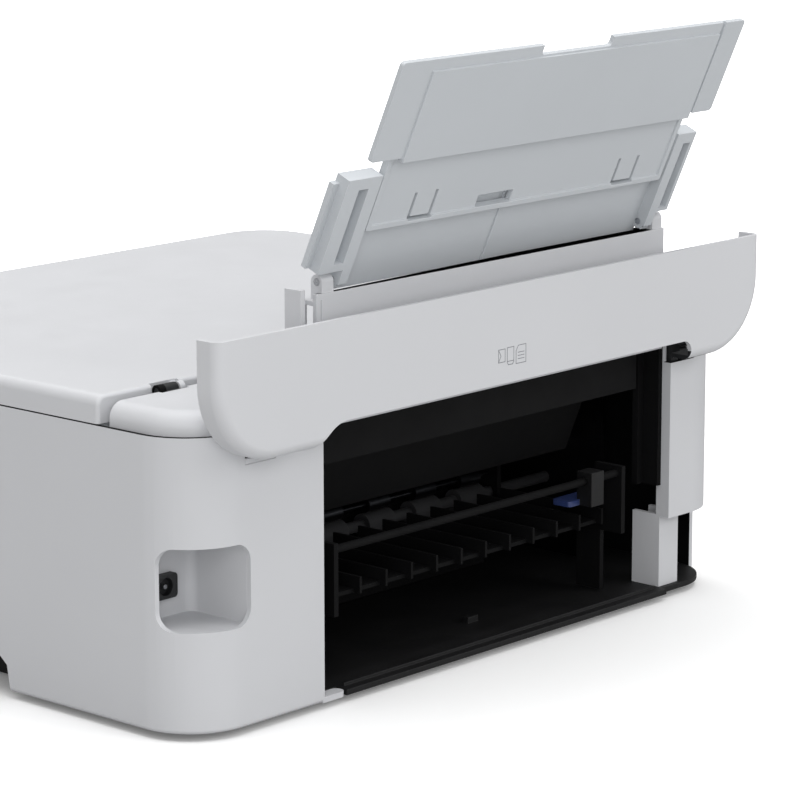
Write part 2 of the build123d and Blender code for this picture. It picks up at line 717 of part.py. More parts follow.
guide_thick = 3.0
with BuildPart() as tower_guides:
    for guide_x, opening in ((tower_left, -1), (tower_right, 1)):
        inner = guide_x + opening * slide_gap
        outer = guide_x + opening * (slide_gap + guide_thick)
        block(
            min(inner, outer), max(inner, outer), tower_back - 4, tower_face - 2.4,
            62, seam_height - deck_skirt - 1,
        )
        flange = guide_x - opening * 4
        block(
            min(flange, outer), max(flange, outer), tower_back - 4, tower_back - slide_gap,
            62, seam_height - deck_skirt - 1,
        )
tower_guides.part.label = "tower_guides"
export_step(tower_guides.part, "parts/tower_guides.step")

# ================================================================ paper support
# Local axes: x across, y up the leaning plane, z away from the rear face.
lean = radians(support_lean)
support = Plane(
    origin=(0, support_y, support_z),
    x_dir=(1, 0, 0),
    z_dir=(0, -cos(lean), sin(lean)),
)
rail_bottom = 2.5
rail_top = 60.5
left_in = 94.5              # inner and outer sides of the two rails
left_out = 117.5
right_in = -129.3
right_out = -144.2
panel_depth = 6.0
mid_left = 93.2
mid_right = -128.0
mid_bottom = 30.0
mid_top = 112.0
mid_thick = 4.4
top_left = 110.6
top_right = -144.6
top_bottom = 68.4
top_end = 122.0
top_thick = 2.4
top_panel_left = 88.6
top_panel_right = -126.0
latch_y = 37.6
latch_places = (56.4, -96.0)
latch_half = 7.4            # half the width of a latch finger
latch_slit = 1.8
panel_foot = -4.0           # lower edge of the recessed panel, behind the tower's rear wall


def slab(x0, x1, y0, y1, z0, z1, mode=Mode.ADD, radius=0.0):
    """A box given in the leaning plane's own axes."""
    with BuildSketch(support.offset(z0)) as plan:
        with Locations(((x0 + x1) / 2, (y0 + y1) / 2)):
            Rectangle(abs(x1 - x0), abs(y1 - y0))
        if radius > 0:
            fillet(plan.vertices(), radius=radius)
    extrude(plan.sketch, amount=z1 - z0, mode=mode)


with BuildPart() as support_base:
    slab(left_in, left_out, rail_bottom + 8, rail_top, 0, rail_depth)
    slab(left_in, left_in + 6, rail_bottom, rail_top, 0, rail_depth)
    slab(left_out, left_out + 4, rail_bottom + 9, rail_top - 4, 5, rail_depth)
    slab(right_out, right_in, rail_bottom + 8, rail_top - 4, 0, rail_depth)
    slab(right_in - 6, right_in, rail_bottom, rail_top - 4, 0, rail_depth)
    # grooves along the rails
    slab(left_in + 7.5, left_in + 14, rail_bottom + 12, rail_top - 6, -1, 5.5, Mode.SUBTRACT)
    slab(right_in - 12.5, right_in - 7, rail_bottom + 10, rail_top - 10, -1, 5.5, Mode.SUBTRACT)
    # recessed panel with its centre ridge
    slab(right_in - 1, left_in + 1, panel_foot, rail_top - 12, panel_depth, rail_depth)
    slab(-11, -9.4, panel_foot, rail_top - 12, panel_depth - 0.9, panel_depth + 1)
    for ear in (left_in, right_in - 6):
        rod_x(ear, ear + 6, pivot_y, pivot_z, pivot_radius)
        slab(ear, ear + 6, 0, rail_bottom + 8, 1.4, rail_depth)
    for ear in (left_in, right_in - 6):
        rod_x(ear - 1, ear + 7, pivot_y, pivot_z, support_pin_radius, Mode.SUBTRACT)
    # clearance round the tower's barrels
    for barrel, barrel_length in barrels:
        rod_x(barrel - slide_gap, barrel + barrel_length + slide_gap, pivot_y, pivot_z, pivot_radius + 3, Mode.SUBTRACT)
support_base.part.label = "support_base"
export_step(support_base.part, "parts/support_base.step")

with BuildPart() as support_pins:
    rod_x(barrels[0][0], right_in, pivot_y, pivot_z, support_pin_radius)
    rod_x(left_in, barrels[1][0] + barrels[1][1], pivot_y, pivot_z, support_pin_radius)
support_pins.part.label = "support_pins"
export_step(support_pins.part, "parts/support_pins.step")

with BuildPart() as support_mid:
    slab(mid_right, mid_left, mid_bottom, mid_top, 0.4, mid_thick, radius=1.5)
    slab(mid_right + 3, mid_left - 3, mid_bottom + 3, mid_top + 1, -1, 1.4, Mode.SUBTRACT)
    # latch fingers cut free on three sides
    for latch_x in latch_places:
        for side in (-1, 1):
            slit_x = latch_x + side * latch_half
            slab(
                slit_x - latch_slit / 2, slit_x + latch_slit / 2,
                latch_y - 4, latch_y + 9, 0, 6, Mode.SUBTRACT,
            )
        slab(
            latch_x - latch_half - latch_slit / 2, latch_x + latch_half + latch_slit / 2,
            latch_y - 4 - latch_slit, latch_y - 4, 0, 6, Mode.SUBTRACT,
        )
    # window at the lower rim
    slab(-9.5, 16, mid_bottom + 3, mid_bottom + 9, 0, 6, Mode.SUBTRACT)
support_mid.part.label = "support_mid"
export_step(support_mid.part, "parts/support_mid.step")

with BuildPart() as support_top:
    slab(top_right, top_left, top_bottom + 2, top_end, -top_thick - slide_gap / 2, -slide_gap / 2, radius=2)
    slab(top_panel_right, top_panel_left, top_bottom, top_end - 6, -top_thick - slide_gap / 2 - 1, -slide_gap / 2)
    slab(
        top_panel_right - 3, top_panel_right - 0.6, top_bottom - 1, top_end + 1,
        -top_thick - slide_gap / 2 - 1, -slide_gap / 2 - 1, Mode.SUBTRACT,
    )
    # grip recess at the upper edge
    slab(-40, 12, top_end - 5, top_end + 1, -6, 1, Mode.SUBTRACT, radius=2)
support_top.part.label = "support_top"
export_step(support_top.part, "parts/support_top.step")

# ================================================================ control panel
panel_left = front_open_left + panel_gap
panel_right = front_open_right - panel_gap
panel_bottom = 63.0
panel_thick = 9.0
screen_width = 96.0
screen_height = 38.0
screen_centre = -60.0
key_radius = 5.5
key_z = 88.0
key_travel = 0.8
key_places = (46.0, 84.0)

with BuildPart() as control_panel:
    with BuildSketch(Plane.XZ.offset(half_depth)):
        with Locations(((panel_left + panel_right) / 2, (panel_bottom + panel_top) / 2)):
            RectangleRounded(panel_right - panel_left, panel_top - panel_bottom, 4)
    extrude(amount=-panel_thick)
    fillet(control_panel.faces().sort_by(Axis.Y)[0].outer_wire().edges(), radius=1.5)
    # seat of the screen
    block(
        screen_centre - screen_width / 2, screen_centre + screen_width / 2,
        -half_depth - 1, -half_depth + 2.2,
        key_z - screen_height / 2, key_z + screen_height / 2, Mode.SUBTRACT,
    )
    for key_x in key_places:
        rod_y(key_x, -half_depth - 1, -half_depth + 6, key_z, key_radius + slide_gap, Mode.SUBTRACT)
    # sockets for the hinge pins
    rod_x(panel_left - 1, panel_left + 8, panel_hinge_y, panel_hinge_z, panel_pin_radius + run_gap, Mode.SUBTRACT)
    rod_x(panel_right - 8, panel_right + 1, panel_hinge_y, panel_hinge_z, panel_pin_radius + run_gap, Mode.SUBTRACT)
control_panel.part.label = "control_panel"
export_step(control_panel.part, "parts/control_panel.step")

with BuildPart() as display_screen:
    block(
        screen_centre - screen_width / 2, screen_centre + screen_width / 2,
        -half_depth + 0.2, -half_depth + 2.2,
        key_z - screen_height / 2, key_z + screen_height / 2,
    )
display_screen.part.label = "display_screen"
export_step(display_screen.part, "parts/display_screen.step")

for name, key_x in zip(("home_key", "power_key"), key_places):
    with BuildPart() as key:
        rod_y(key_x, -half_depth - 0.3, -half_depth + 4.5, key_z, key_radius)
        fillet(key.faces().sort_by(Axis.Y)[0].edges(), radius=0.6)
    key.part.label = name
    export_step(key.part, f"parts/{name}.step")

with BuildPart() as ink_window:
    with BuildSketch(Plane.XZ.offset(half_depth - wall)):
        with Locations(((window_left + window_right) / 2, (window_bottom + window_top) / 2)):
            RectangleRounded(window_right - window_left - 0.2, window_top - window_bottom - 0.2, 5)
    extrude(amount=wall - 0.3)
ink_window.part.label = "ink_window"
export_step(ink_window.part, "parts/ink_window.step")

tank_width = 8.6
tank_count = 5
tank_bottom = rear_open_bottom
tank_front = -half_depth + wall + 8.0
tank_top = 100.0
with BuildPart() as ink_tanks:
    for tank in range(tank_count):
        tank_x = window_left + 0.6 + tank * (tank_width + 1.4)
        block(tank_x, tank_x + tank_width, tank_front, -100, tank_bottom, tank_top)
        with Locations((tank_x + tank_width / 2, -118, tank_top)):
            Cylinder(3.2, 7, align=on_floor)
ink_tanks.part.label = "ink_tanks"
export_step(ink_tanks.part, "parts/ink_tanks.step")

# ================================================================ output tray
tray_left = -127.0
tray_right = 105.0
tray_front = -half_depth + 0.5
tray_rear = -14.0
tray_z = 34.0
extension_inset = 42.0
with BuildPart() as output_tray:
    block(tray_left, tray_right, tray_front + 2, tray_rear, tray_z, tray_z + 2.4)
    block(tray_left, tray_right, tray_front, tray_front + 3, tray_z - 1, tray_z + 8)
    for side_x in (tray_left, tray_right - 2):
        block(side_x, side_x + 2, tray_front + 2, tray_rear, tray_z, tray_z + 6)
    # way out for the extension through the front lip
    block(
        tray_left + extension_inset - slide_gap, tray_right - extension_inset + slide_gap,
        tray_front - 1, tray_front + 3.5, tray_z + 2.4, tray_z + 9, Mode.SUBTRACT,
    )
    fillet(output_tray.faces().sort_by(Axis.Y)[0].outer_wire().edges(), radius=1)
output_tray.part.label = "output_tray"
export_step(output_tray.part, "parts/output_tray.step")

with BuildPart() as tray_extension:
    block(
        tray_left + extension_inset, tray_right - extension_inset, tray_front + 4, tray_rear - 20,
        tray_z + 2.4 + slide_gap, tray_z + 4.4,
    )
    block(
        tray_left + extension_inset + 40, tray_right - extension_inset - 40,
        tray_front + 4, tray_front + 6, tray_z + 2.4 + slide_gap, tray_z + 8,
    )
tray_extension.part.label = "tray_extension"
export_step(tray_extension.part, "parts/tray_extension.step")

# ================================================================ paper cassette
cassette_left = front_open_left + 2.0
cassette_right = front_open_right - 2.0
cassette_bottom = 7.5
cassette_top = 31.5
cassette_wall = 2.2
cassette_rear = 68.0
cassette_inner = paper_width + 6.0
with BuildPart() as cassette:
    block(cassette_left, cassette_right, -half_depth + 0.5, -half_depth + 5, cassette_bottom, cassette_top)
    fillet(cassette.faces().sort_by(Axis.Y)[0].outer_wire().edges(), radius=2)
    block(
        feed_centre - cassette_inner / 2 - cassette_wall, feed_centre + cassette_inner / 2 + cassette_wall,
        -half_depth + 5, cassette_rear, cassette_bottom, cassette_top - 3,
    )
    block(
        feed_centre - cassette_inner / 2, feed_centre + cassette_inner / 2,
        -half_depth + 5, cassette_rear - cassette_wall,
        cassette_bottom + cassette_wall, cassette_top, Mode.SUBTRACT,
    )
    # finger notch under the front
    block(feed_centre - 32, feed_centre + 32, -half_depth - 1, -half_depth + 3.5, 0, cassette_bottom + 6, Mode.SUBTRACT)
cassette.part.label = "cassette"
export_step(cassette.part, "parts/cassette.step")

guide_height = 15.0
for name, side in (("left", -1), ("right", 1)):
    with BuildPart() as cassette_guide:
        face = feed_centre + side * (paper_width / 2 + 1)
        block(
            min(face, face + side * 1.4), max(face, face + side * 1.4), -60, 40,
            cassette_bottom + cassette_wall + slide_gap, cassette_bottom + cassette_wall + guide_height,
        )
        block(
            min(face, face - side * 26), max(face, face - side * 26), -24, -12,
            cassette_bottom + cassette_wall + slide_gap, cassette_bottom + cassette_wall + 1.6,
        )
    cassette_guide.part.label = f"cassette_guide_{name}"
    export_step(cassette_guide.part, f"parts/cassette_guide_{name}.step")

# ================================================================ chassis
frame_left = -172.0
frame_right = 150.0
plate = 1.6
frame_front = -44.0
frame_back = 112.0
frame_top = 112.0
shaft_y = 58.0
shaft_z = 82.0
rail_y = 76.0
gear_x = frame_left - 9.0
axle_radius = 3.0
stud_radius = 1.5
belt_y = 70.0
belt_z = 96.0
belt_right = frame_right - 14.0
belt_left = frame_left + 14.0
idler_y = (feed_y + exit_y) / 2
feed_teeth = 40
idler_teeth = 38
pinion_teeth = 16
pinion_z = roller_z + gear_module * (feed_teeth + pinion_teeth) / 2

with BuildPart() as side_frames:
    for plate_x in (frame_left, frame_right):
        block(plate_x, plate_x + plate, frame_front, frame_back, rear_open_bottom, frame_top)
        foot_out = plate_x - 8 if plate_x < 0 else plate_x + plate - 1
        block(foot_out, foot_out + 9, frame_front, frame_front + 30, rear_open_bottom, rear_open_bottom + plate)
        rod_x(plate_x - 1, plate_x + 3, feed_y, roller_z, axle_radius + run_gap, Mode.SUBTRACT)
        rod_x(plate_x - 1, plate_x + 3, exit_y, roller_z, axle_radius + run_gap, Mode.SUBTRACT)
        rod_x(plate_x - 1, plate_x + 3, shaft_y, shaft_z, shaft_radius, Mode.SUBTRACT)
    rod_x(frame_left - 1, frame_left + 3, feed_y, pinion_z, 2.0, Mode.SUBTRACT)
    # riveted stud of the idler gear
    rod_x(gear_x - 3, frame_left, idler_y, roller_z, stud_radius)
side_frames.part.label = "side_frames"
export_step(side_frames.part, "parts/side_frames.step")

with BuildPart() as rail_beam:
    block(frame_left + plate, frame_right, rail_y, rail_y + plate, 84, frame_top)
    block(frame_left + plate, frame_right, rail_y, rail_y + 12, frame_top - plate, frame_top)
    for slot in range(6):
        with Locations((frame_left + 40 + slot * 44, rail_y, 98)):
            Box(16, 8, 8, align=on_floor, mode=Mode.SUBTRACT)
    rod_y(belt_right, rail_y - 2, rail_y + 4, belt_z, 4, Mode.SUBTRACT)
    # riveted stud of the belt's idler pulley
    rod_y(belt_left, belt_y - 4, rail_y, belt_z, stud_radius)
rail_beam.part.label = "rail_beam"
export_step(rail_beam.part, "parts/rail_beam.step")

with BuildPart() as carriage_shaft:
    rod_x(frame_left - 2, frame_right + plate + 2, shaft_y, shaft_z, shaft_radius)
carriage_shaft.part.label = "carriage_shaft"
export_step(carriage_shaft.part, "parts/carriage_shaft.step")

tab_rod_y = 160.0           # rod that the width tab slides on
tab_rod_z = 72.0
tab_rod_radius = 2.0
platen_left = feed_centre - paper_width / 2 - 6
platen_right = feed_centre + paper_width / 2 + 6
wheel_z = path_height + slide_gap + pinch_radius
wheel_axle = 1.2
with BuildPart() as platen:
    block(platen_left, platen_right, 12, 62, 45, path_height - 2)
    for rib in range(12):
        rib_x = platen_left + 8 + rib * (platen_right - platen_left - 17.5) / 11
        block(rib_x, rib_x + 1.5, 12, 62, path_height - 2, path_height - 0.6)
        block(rib_x, rib_x + 1.5, 86, 156, 45, path_height - 0.6)
    block(platen_left, platen_right, 88, 152, 45, 47)
    for end in (platen_left, platen_right - 3):
        block(end, end + 3, 12, 152, 40, 47)
        block(end, end + 3, 134, 150, rear_open_bottom + 1.2, 42)
        block(end, end + 3, 146, tab_rod_y + 4, 40, tab_rod_z + 4)
        # cheeks that carry the pinch rollers and star wheels
        for wheel_y in (feed_y, exit_y):
            block(end, end + 3, wheel_y - 7, wheel_y + 7, 40, path_height + 10)
        block(end, end + 3, exit_y - 4, 14, 40, 45)
        for wheel_y in (feed_y, exit_y):
            rod_x(end - 1, end + 4, wheel_y, wheel_z, wheel_axle + run_gap, Mode.SUBTRACT)
            rod_x(end - 1, end + 4, wheel_y, roller_z, axle_radius + 1, Mode.SUBTRACT)
    rod_x(platen_left, platen_right, tab_rod_y, tab_rod_z, tab_rod_radius)
platen.part.label = "platen"
export_step(platen.part, "parts/platen.step")

# ================================================================ carriage
car_left = 62.0
car_right = 138.0
car_bottom = path_height + 3.5
with BuildPart() as carriage:
    block(car_left, car_right, 6, 54, car_bottom, 104)
    fillet(carriage.edges().filter_by(Axis.Z), radius=2)
    block(car_left + 3, car_right - 3, 9, 51, car_bottom + 14, 105, Mode.SUBTRACT)
    block(car_left + 6, car_left + 20, 50, shaft_y + 6, shaft_z - 7, shaft_z + 7)
    block(car_right - 20, car_right - 6, 50, shaft_y + 6, shaft_z - 7, shaft_z + 7)
    rod_x(car_left - 1, car_right + 1, shaft_y, shaft_z, shaft_radius + run_gap, Mode.SUBTRACT)
carriage.part.label = "carriage"
export_step(carriage.part, "parts/carriage.step")

with BuildPart() as print_head:
    block(car_left + 14, car_right - 14, 18, 48, path_height + 1.4, car_bottom)
print_head.part.label = "print_head"
export_step(print_head.part, "parts/print_head.step")

with BuildPart() as ink_dampers:
    for cell in range(5):
        cell_x = car_left + 6 + cell * 13
        block(cell_x, cell_x + 11.5, 12, 48, car_bottom + 14, 102)
ink_dampers.part.label = "ink_dampers"
export_step(ink_dampers.part, "parts/ink_dampers.step")

pulley_radius = 6.0
belt_thick = 1.2
with BuildPart() as drive_belt:
    with BuildSketch(Plane.XZ.offset(-belt_y + 2.5)):
        with Locations(((belt_left + belt_right) / 2, belt_z)):
            SlotCenterToCenter(belt_right - belt_left, 2 * (pulley_radius + slide_gap + belt_thick))
            SlotCenterToCenter(belt_right - belt_left, 2 * (pulley_radius + slide_gap), mode=Mode.SUBTRACT)
    extrude(amount=-5)
drive_belt.part.label = "drive_belt"
export_step(drive_belt.part, "parts/drive_belt.step")

for name, pulley_x in (("drive_pulley", belt_right), ("idler_pulley", belt_left)):
    with BuildPart() as pulley:
        rod_y(pulley_x, belt_y - 2.8, belt_y + 2.8, belt_z, pulley_radius)
        rod_y(pulley_x, belt_y - 5, belt_y + 3.2, belt_z, stud_radius + run_gap, Mode.SUBTRACT)
    pulley.part.label = name
    export_step(pulley.part, f"parts/{name}.step")

# ================================================================ paper drive
for name, roller_y, radius in (("feed_roller", feed_y, roller_radius), ("exit_roller", exit_y, roller_radius)):
    with BuildPart() as roller:
        rod_x(gear_x - 4, frame_right + plate + 0.8, roller_y, roller_z, axle_radius)
        for sleeve in range(6):
            sleeve_x = feed_centre - 100 + sleeve * 36
            rod_x(sleeve_x, sleeve_x + 20, roller_y, roller_z, radius)
    roller.part.label = name
    export_step(roller.part, f"parts/{name}.step")

for name, wheel_y in (("pinch_rollers", feed_y), ("star_wheels", exit_y)):
    with BuildPart() as wheels:
        rod_x(platen_left + 0.5, platen_right - 0.5, wheel_y, wheel_z, wheel_axle)
        for wheel in range(6):
            wheel_x = feed_centre - 98 + wheel * 36
            width = 16 if name == "pinch_rollers" else 2
            rod_x(wheel_x, wheel_x + width, wheel_y, wheel_z, pinch_radius)
    wheels.part.label = name
    export_step(wheels.part, f"parts/{name}.step")

for name, gear_y, gear_z, teeth, turn in (
    ("feed_gear", feed_y, roller_z, feed_teeth, 0.0),
    ("idler_gear", idler_y, roller_z, idler_teeth, 0.5),
    ("exit_gear", exit_y, roller_z, feed_teeth, 0.0),
    ("motor_pinion", feed_y, pinion_z, pinion_teeth, 0.5),
):
    with BuildPart() as gear:
        with BuildSketch(Plane.YZ.offset(gear_x - 2)):
            with Locations(Location((gear_y, gear_z), turn * 360 / teeth)):
                gear_outline(teeth)
        extrude(amount=5)
        bore = axle_radius if teeth == feed_teeth else stud_radius + run_gap
        rod_x(gear_x - 3, gear_x + 4, gear_y, gear_z, bore, Mode.SUBTRACT)
    gear.part.label = name
    export_step(gear.part, f"parts/{name}.step")

with BuildPart() as motors:
    rod_y(belt_right, rail_y + plate, rail_y + 24, belt_z, 13)
    rod_y(belt_right, belt_y - 4, rail_y + plate, belt_z, stud_radius)
    rod_x(frame_left + plate, frame_left + plate + 20, feed_y, pinion_z, 5)
    rod_x(gear_x - 3, frame_left + plate, feed_y, pinion_z, stud_radius)
motors.part.label = "motors"
export_step(motors.part, "parts/motors.step")

# ================================================================ service station, boards
with BuildPart() as capping_station:
    block(platen_right + 1, frame_right - 2, 8, 62, 34, path_height - 3)
    block(platen_right + 6, frame_right - 8, 18, 48, path_height - 3, path_height + 1)
    block(platen_right + 9, frame_right - 11, 21, 45, path_height - 2, path_height + 2, Mode.SUBTRACT)
capping_station.part.label = "capping_station"
export_step(capping_station.part, "parts/capping_station.step")

with BuildPart() as waste_pad:
    block(cassette_right + 2, frame_right - 2, -40, 62, rear_open_bottom, 33)
waste_pad.part.label = "waste_pad"
export_step(waste_pad.part, "parts/waste_pad.step")

with BuildPart() as main_board:
    block(-195.5, -194, -100, 60, 40, 108)
    for chip_y, chip_z, size in ((-60, 80, 22), (-20, 70, 16), (20, 84, 14), (-84, 56, 10)):
        block(-194, -191.5, chip_y - size / 2, chip_y + size / 2, chip_z - size / 2, chip_z + size / 2)
    block(-194, -187, 40, 52, 48, 62)
main_board.part.label = "main_board"
export_step(main_board.part, "parts/main_board.step")

# ================================================================ rear feeder
with BuildPart() as feed_chute:
    with BuildSketch(Plane.YZ.offset(platen_left - 4)):
        with BuildLine():
            Polyline(
                (tower_back - 16, seam_height - deck_skirt),
                (tower_back - 13.5, seam_height - deck_skirt),
                (tower_back - 38, 78),
                (tower_back - 40.5, 78),
                close=True,
            )
        make_face()
    extrude(amount=platen_right - platen_left + 8)
feed_chute.part.label = "feed_chute"
export_step(feed_chute.part, "parts/feed_chute.step")

for name, side in (("left", -1), ("right", 1)):
    with BuildPart() as edge_guide:
        face = feed_centre + side * (paper_width / 2 + 1)
        block(
            min(face, face + side * 2), max(face, face + side * 2),
            tower_back - 10, tower_back - slide_gap, tower_bottom + 16, tower_top - 6,
        )
        block(
            min(face, face - side * 18), max(face, face - side * 18),
            tower_back - 3, tower_back - slide_gap, tower_bottom + 16, tower_top - 12,
        )
    edge_guide.part.label = f"edge_guide_{name}"
    export_step(edge_guide.part, f"parts/edge_guide_{name}.step")

tab_x = -101.0
tab_y = 151.0
tab_bottom = path_height + 5.0
with BuildPart() as width_tab:
    with BuildSketch(Plane.XY.offset(tab_bottom)):
        with Locations((tab_x, tab_y)):
            RectangleRounded(26, 12, 2)
    extrude(amount=3)
    block(tab_x - 5, tab_x + 5, tab_y + 4, tab_rod_y + 5, tab_bottom, tab_rod_z + 5)
    rod_x(tab_x - 6, tab_x + 6, tab_rod_y, tab_rod_z, tab_rod_radius + run_gap, Mode.SUBTRACT)
width_tab.part.label = "width_tab"
export_step(width_tab.part, "parts/width_tab.step")
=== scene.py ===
import bmesh
import bpy
import json
import math
from mathutils import Matrix, Vector


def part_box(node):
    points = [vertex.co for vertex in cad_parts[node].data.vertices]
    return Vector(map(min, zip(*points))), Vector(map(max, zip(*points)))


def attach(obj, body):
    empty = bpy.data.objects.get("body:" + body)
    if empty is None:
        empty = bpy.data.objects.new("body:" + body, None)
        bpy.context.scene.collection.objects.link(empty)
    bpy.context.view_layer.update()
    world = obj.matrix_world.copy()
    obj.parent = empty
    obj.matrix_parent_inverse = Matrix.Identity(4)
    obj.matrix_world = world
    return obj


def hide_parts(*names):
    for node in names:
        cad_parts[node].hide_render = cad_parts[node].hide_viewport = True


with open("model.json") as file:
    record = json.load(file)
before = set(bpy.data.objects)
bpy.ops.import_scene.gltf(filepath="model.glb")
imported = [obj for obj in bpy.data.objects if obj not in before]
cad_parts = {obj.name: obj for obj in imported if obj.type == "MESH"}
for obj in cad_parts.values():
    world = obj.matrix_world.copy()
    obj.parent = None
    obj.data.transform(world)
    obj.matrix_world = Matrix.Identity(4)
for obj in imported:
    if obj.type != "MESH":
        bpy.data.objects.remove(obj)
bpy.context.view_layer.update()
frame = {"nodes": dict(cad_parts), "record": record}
nodes = frame["nodes"]
mm = 0.001
print("frame loaded:", len(nodes), "nodes")


def linear(red, green, blue):
    return tuple((c / 255 / 12.92) if c <= 10 else ((c / 255 + 0.055) / 1.055) ** 2.4
                 for c in (red, green, blue)) + (1.0,)


def shade(colour, factor):
    return tuple(min(1.0, c * factor) for c in colour[:3]) + (1.0,)


class Finish:  # a material under construction, with short ways to add and join nodes
    def __init__(self, name):
        self.material = bpy.data.materials.new(name)
        self.material.use_nodes = True
        self.tree = self.material.node_tree
        self.shader = self.tree.nodes["Principled BSDF"]
        self.place = self.add("ShaderNodeTexCoord").outputs["Object"]

    def add(self, kind, **settings):
        node = self.tree.nodes.new(kind)
        for key, value in settings.items():
            setattr(node, key, value)
        return node

    def link(self, source, target):
        self.tree.links.new(source, target)

    def noise(self, scale, detail=2.0, rough=0.5):
        node = self.add("ShaderNodeTexNoise")
        node.inputs["Scale"].default_value = scale
        node.inputs["Detail"].default_value = detail
        node.inputs["Roughness"].default_value = rough
        self.link(self.place, node.inputs["Vector"])
        return node.outputs["Fac"]

    def spread(self, source, low, high, fromLow=0.3, fromHigh=0.7):
        node = self.add("ShaderNodeMapRange")
        node.inputs["From Min"].default_value = fromLow
        node.inputs["From Max"].default_value = fromHigh
        node.inputs["To Min"].default_value = low
        node.inputs["To Max"].default_value = high
        self.link(source, node.inputs["Value"])
        return node.outputs["Result"]

    def math(self, operation, first, second):
        node = self.add("ShaderNodeMath", operation=operation)
        for socket, value in zip(node.inputs, (first, second)):
            if isinstance(value, (int, float)):
                socket.default_value = value
            else:
                self.link(value, socket)
        return node.outputs["Value"]

    def blend(self, factor, first, second):
        node = self.add("ShaderNodeMix", data_type="RGBA")
        for socket, value in ((node.inputs[0], factor), (node.inputs[6], first), (node.inputs[7], second)):
            if isinstance(value, tuple):
                socket.default_value = value
            elif isinstance(value, (int, float)):
                socket.default_value = value
            else:
                self.link(value, socket)
        return node.outputs[2]

    def edges(self, radius, low, high):  # 1 on a rubbed edge, 0 on a flat
        bevel = self.add("ShaderNodeBevel", samples=4)
        bevel.inputs["Radius"].default_value = radius
        geometry = self.add("ShaderNodeNewGeometry")
        dot = self.add("ShaderNodeVectorMath", operation="DOT_PRODUCT")
        self.link(bevel.outputs["Normal"], dot.inputs[0])
        self.link(geometry.outputs["Normal"], dot.inputs[1])
        return self.spread(dot.outputs["Value"], 1.0, 0.0, low, high)

    def bump(self, height, strength, distance):
        node = self.add("ShaderNodeBump")
        node.inputs["Strength"].default_value = strength
        node.inputs["Distance"].default_value = distance
        self.link(height, node.inputs["Height"])
        self.link(node.outputs["Normal"], self.shader.inputs["Normal"])

    def colour(self, source):
        self.link(source, self.shader.inputs["Base Color"])

    def rough(self, source):
        self.link(source, self.shader.inputs["Roughness"])


def mouldedPlastic(name, look):  # spark-eroded moulding: even colour, fine grain, edges a little polished
    finish = Finish(name)
    base = look["colour"]
    cloud = finish.spread(finish.noise(look["cloudScale"], 3.0), 0.0, 1.0)
    body = finish.blend(cloud, shade(base, 1 - look["drift"]), shade(base, 1 + look["drift"]))
    rub = finish.edges(look["edgeRadius"], 0.86, 0.995)
    rubbed = finish.spread(finish.noise(140.0, 4.0), 0.0, look["wear"], 0.42, 0.62)
    scuff = finish.math("MULTIPLY", rub, rubbed)
    finish.colour(finish.blend(scuff, body, shade(base, look["wornTone"])))
    polish = finish.spread(finish.noise(45.0, 3.0), look["rough"] - 0.05, look["rough"] + 0.05)
    finish.rough(finish.math("SUBTRACT", polish, finish.math("MULTIPLY", scuff, 0.12)))
    grain = finish.math("ADD", finish.noise(look["grain"], 2.0), finish.noise(look["grain"] * 0.31, 3.0))
    finish.bump(grain, look["bump"], 0.00006)
    finish.shader.inputs["Specular IOR Level"].default_value = look["gloss"]
    return finish.material


plasticLooks = {
    "shellLight": {"colour": linear(203, 204, 207), "drift": 0.012, "cloudScale": 9.0, "grain": 1500.0,
                   "bump": 0.16, "rough": 0.48, "gloss": 0.42, "edgeRadius": 0.0012, "wear": 0.35,
                   "wornTone": 1.07},
    "supportGrey": {"colour": linear(193, 197, 201), "drift": 0.014, "cloudScale": 13.0, "grain": 1300.0,
                    "bump": 0.2, "rough": 0.5, "gloss": 0.4, "edgeRadius": 0.001, "wear": 0.4,
                    "wornTone": 1.09},
    "blackPlastic": {"colour": linear(26, 27, 29), "drift": 0.16, "cloudScale": 26.0, "grain": 1100.0,
                     "bump": 0.35, "rough": 0.46, "gloss": 0.5, "edgeRadius": 0.001, "wear": 0.5,
                     "wornTone": 2.1},
    # painted shade: parts inside the printer in near-black, darker than their black plastic, for the shade in
    # the works
    "shadedInnerBlack": {"colour": linear(8, 8, 9), "drift": 0.25, "cloudScale": 22.0, "grain": 900.0,
                   "bump": 0.3, "rough": 0.7, "gloss": 0.14, "edgeRadius": 0.0009, "wear": 0.4,
                   "wornTone": 2.4},
    "floorBlack": {"colour": linear(17, 17, 18), "drift": 0.18, "cloudScale": 30.0, "grain": 1000.0,
                   "bump": 0.3, "rough": 0.55, "gloss": 0.3, "edgeRadius": 0.0009, "wear": 0.5,
                   "wornTone": 2.0},
    "gearNylon": {"colour": linear(196, 192, 178), "drift": 0.03, "cloudScale": 40.0, "grain": 1900.0,
                  "bump": 0.14, "rough": 0.4, "gloss": 0.5, "edgeRadius": 0.0005, "wear": 0.4,
                  "wornTone": 1.08},
    "blueTab": {"colour": linear(44, 58, 104), "drift": 0.08, "cloudScale": 50.0, "grain": 1500.0,
                "bump": 0.25, "rough": 0.42, "gloss": 0.5, "edgeRadius": 0.0008, "wear": 0.5,
                "wornTone": 1.6},
    "smokedWindow": {"colour": linear(48, 49, 52), "drift": 0.06, "cloudScale": 30.0, "grain": 2100.0,
                     "bump": 0.05, "rough": 0.16, "gloss": 0.6, "edgeRadius": 0.0006, "wear": 0.3,
                     "wornTone": 1.8},
    "displayGlow": {"colour": linear(150, 176, 198), "drift": 0.08, "cloudScale": 120.0, "grain": 2500.0,
                    "bump": 0.05, "rough": 0.25, "gloss": 0.5, "edgeRadius": 0.0003, "wear": 0.2,
                    "wornTone": 1.1},
    "markInk": {"colour": linear(118, 121, 126), "drift": 0.05, "cloudScale": 300.0, "grain": 2500.0,
                "bump": 0.1, "rough": 0.5, "gloss": 0.4, "edgeRadius": 0.0002, "wear": 0.2,
                "wornTone": 1.2},
}


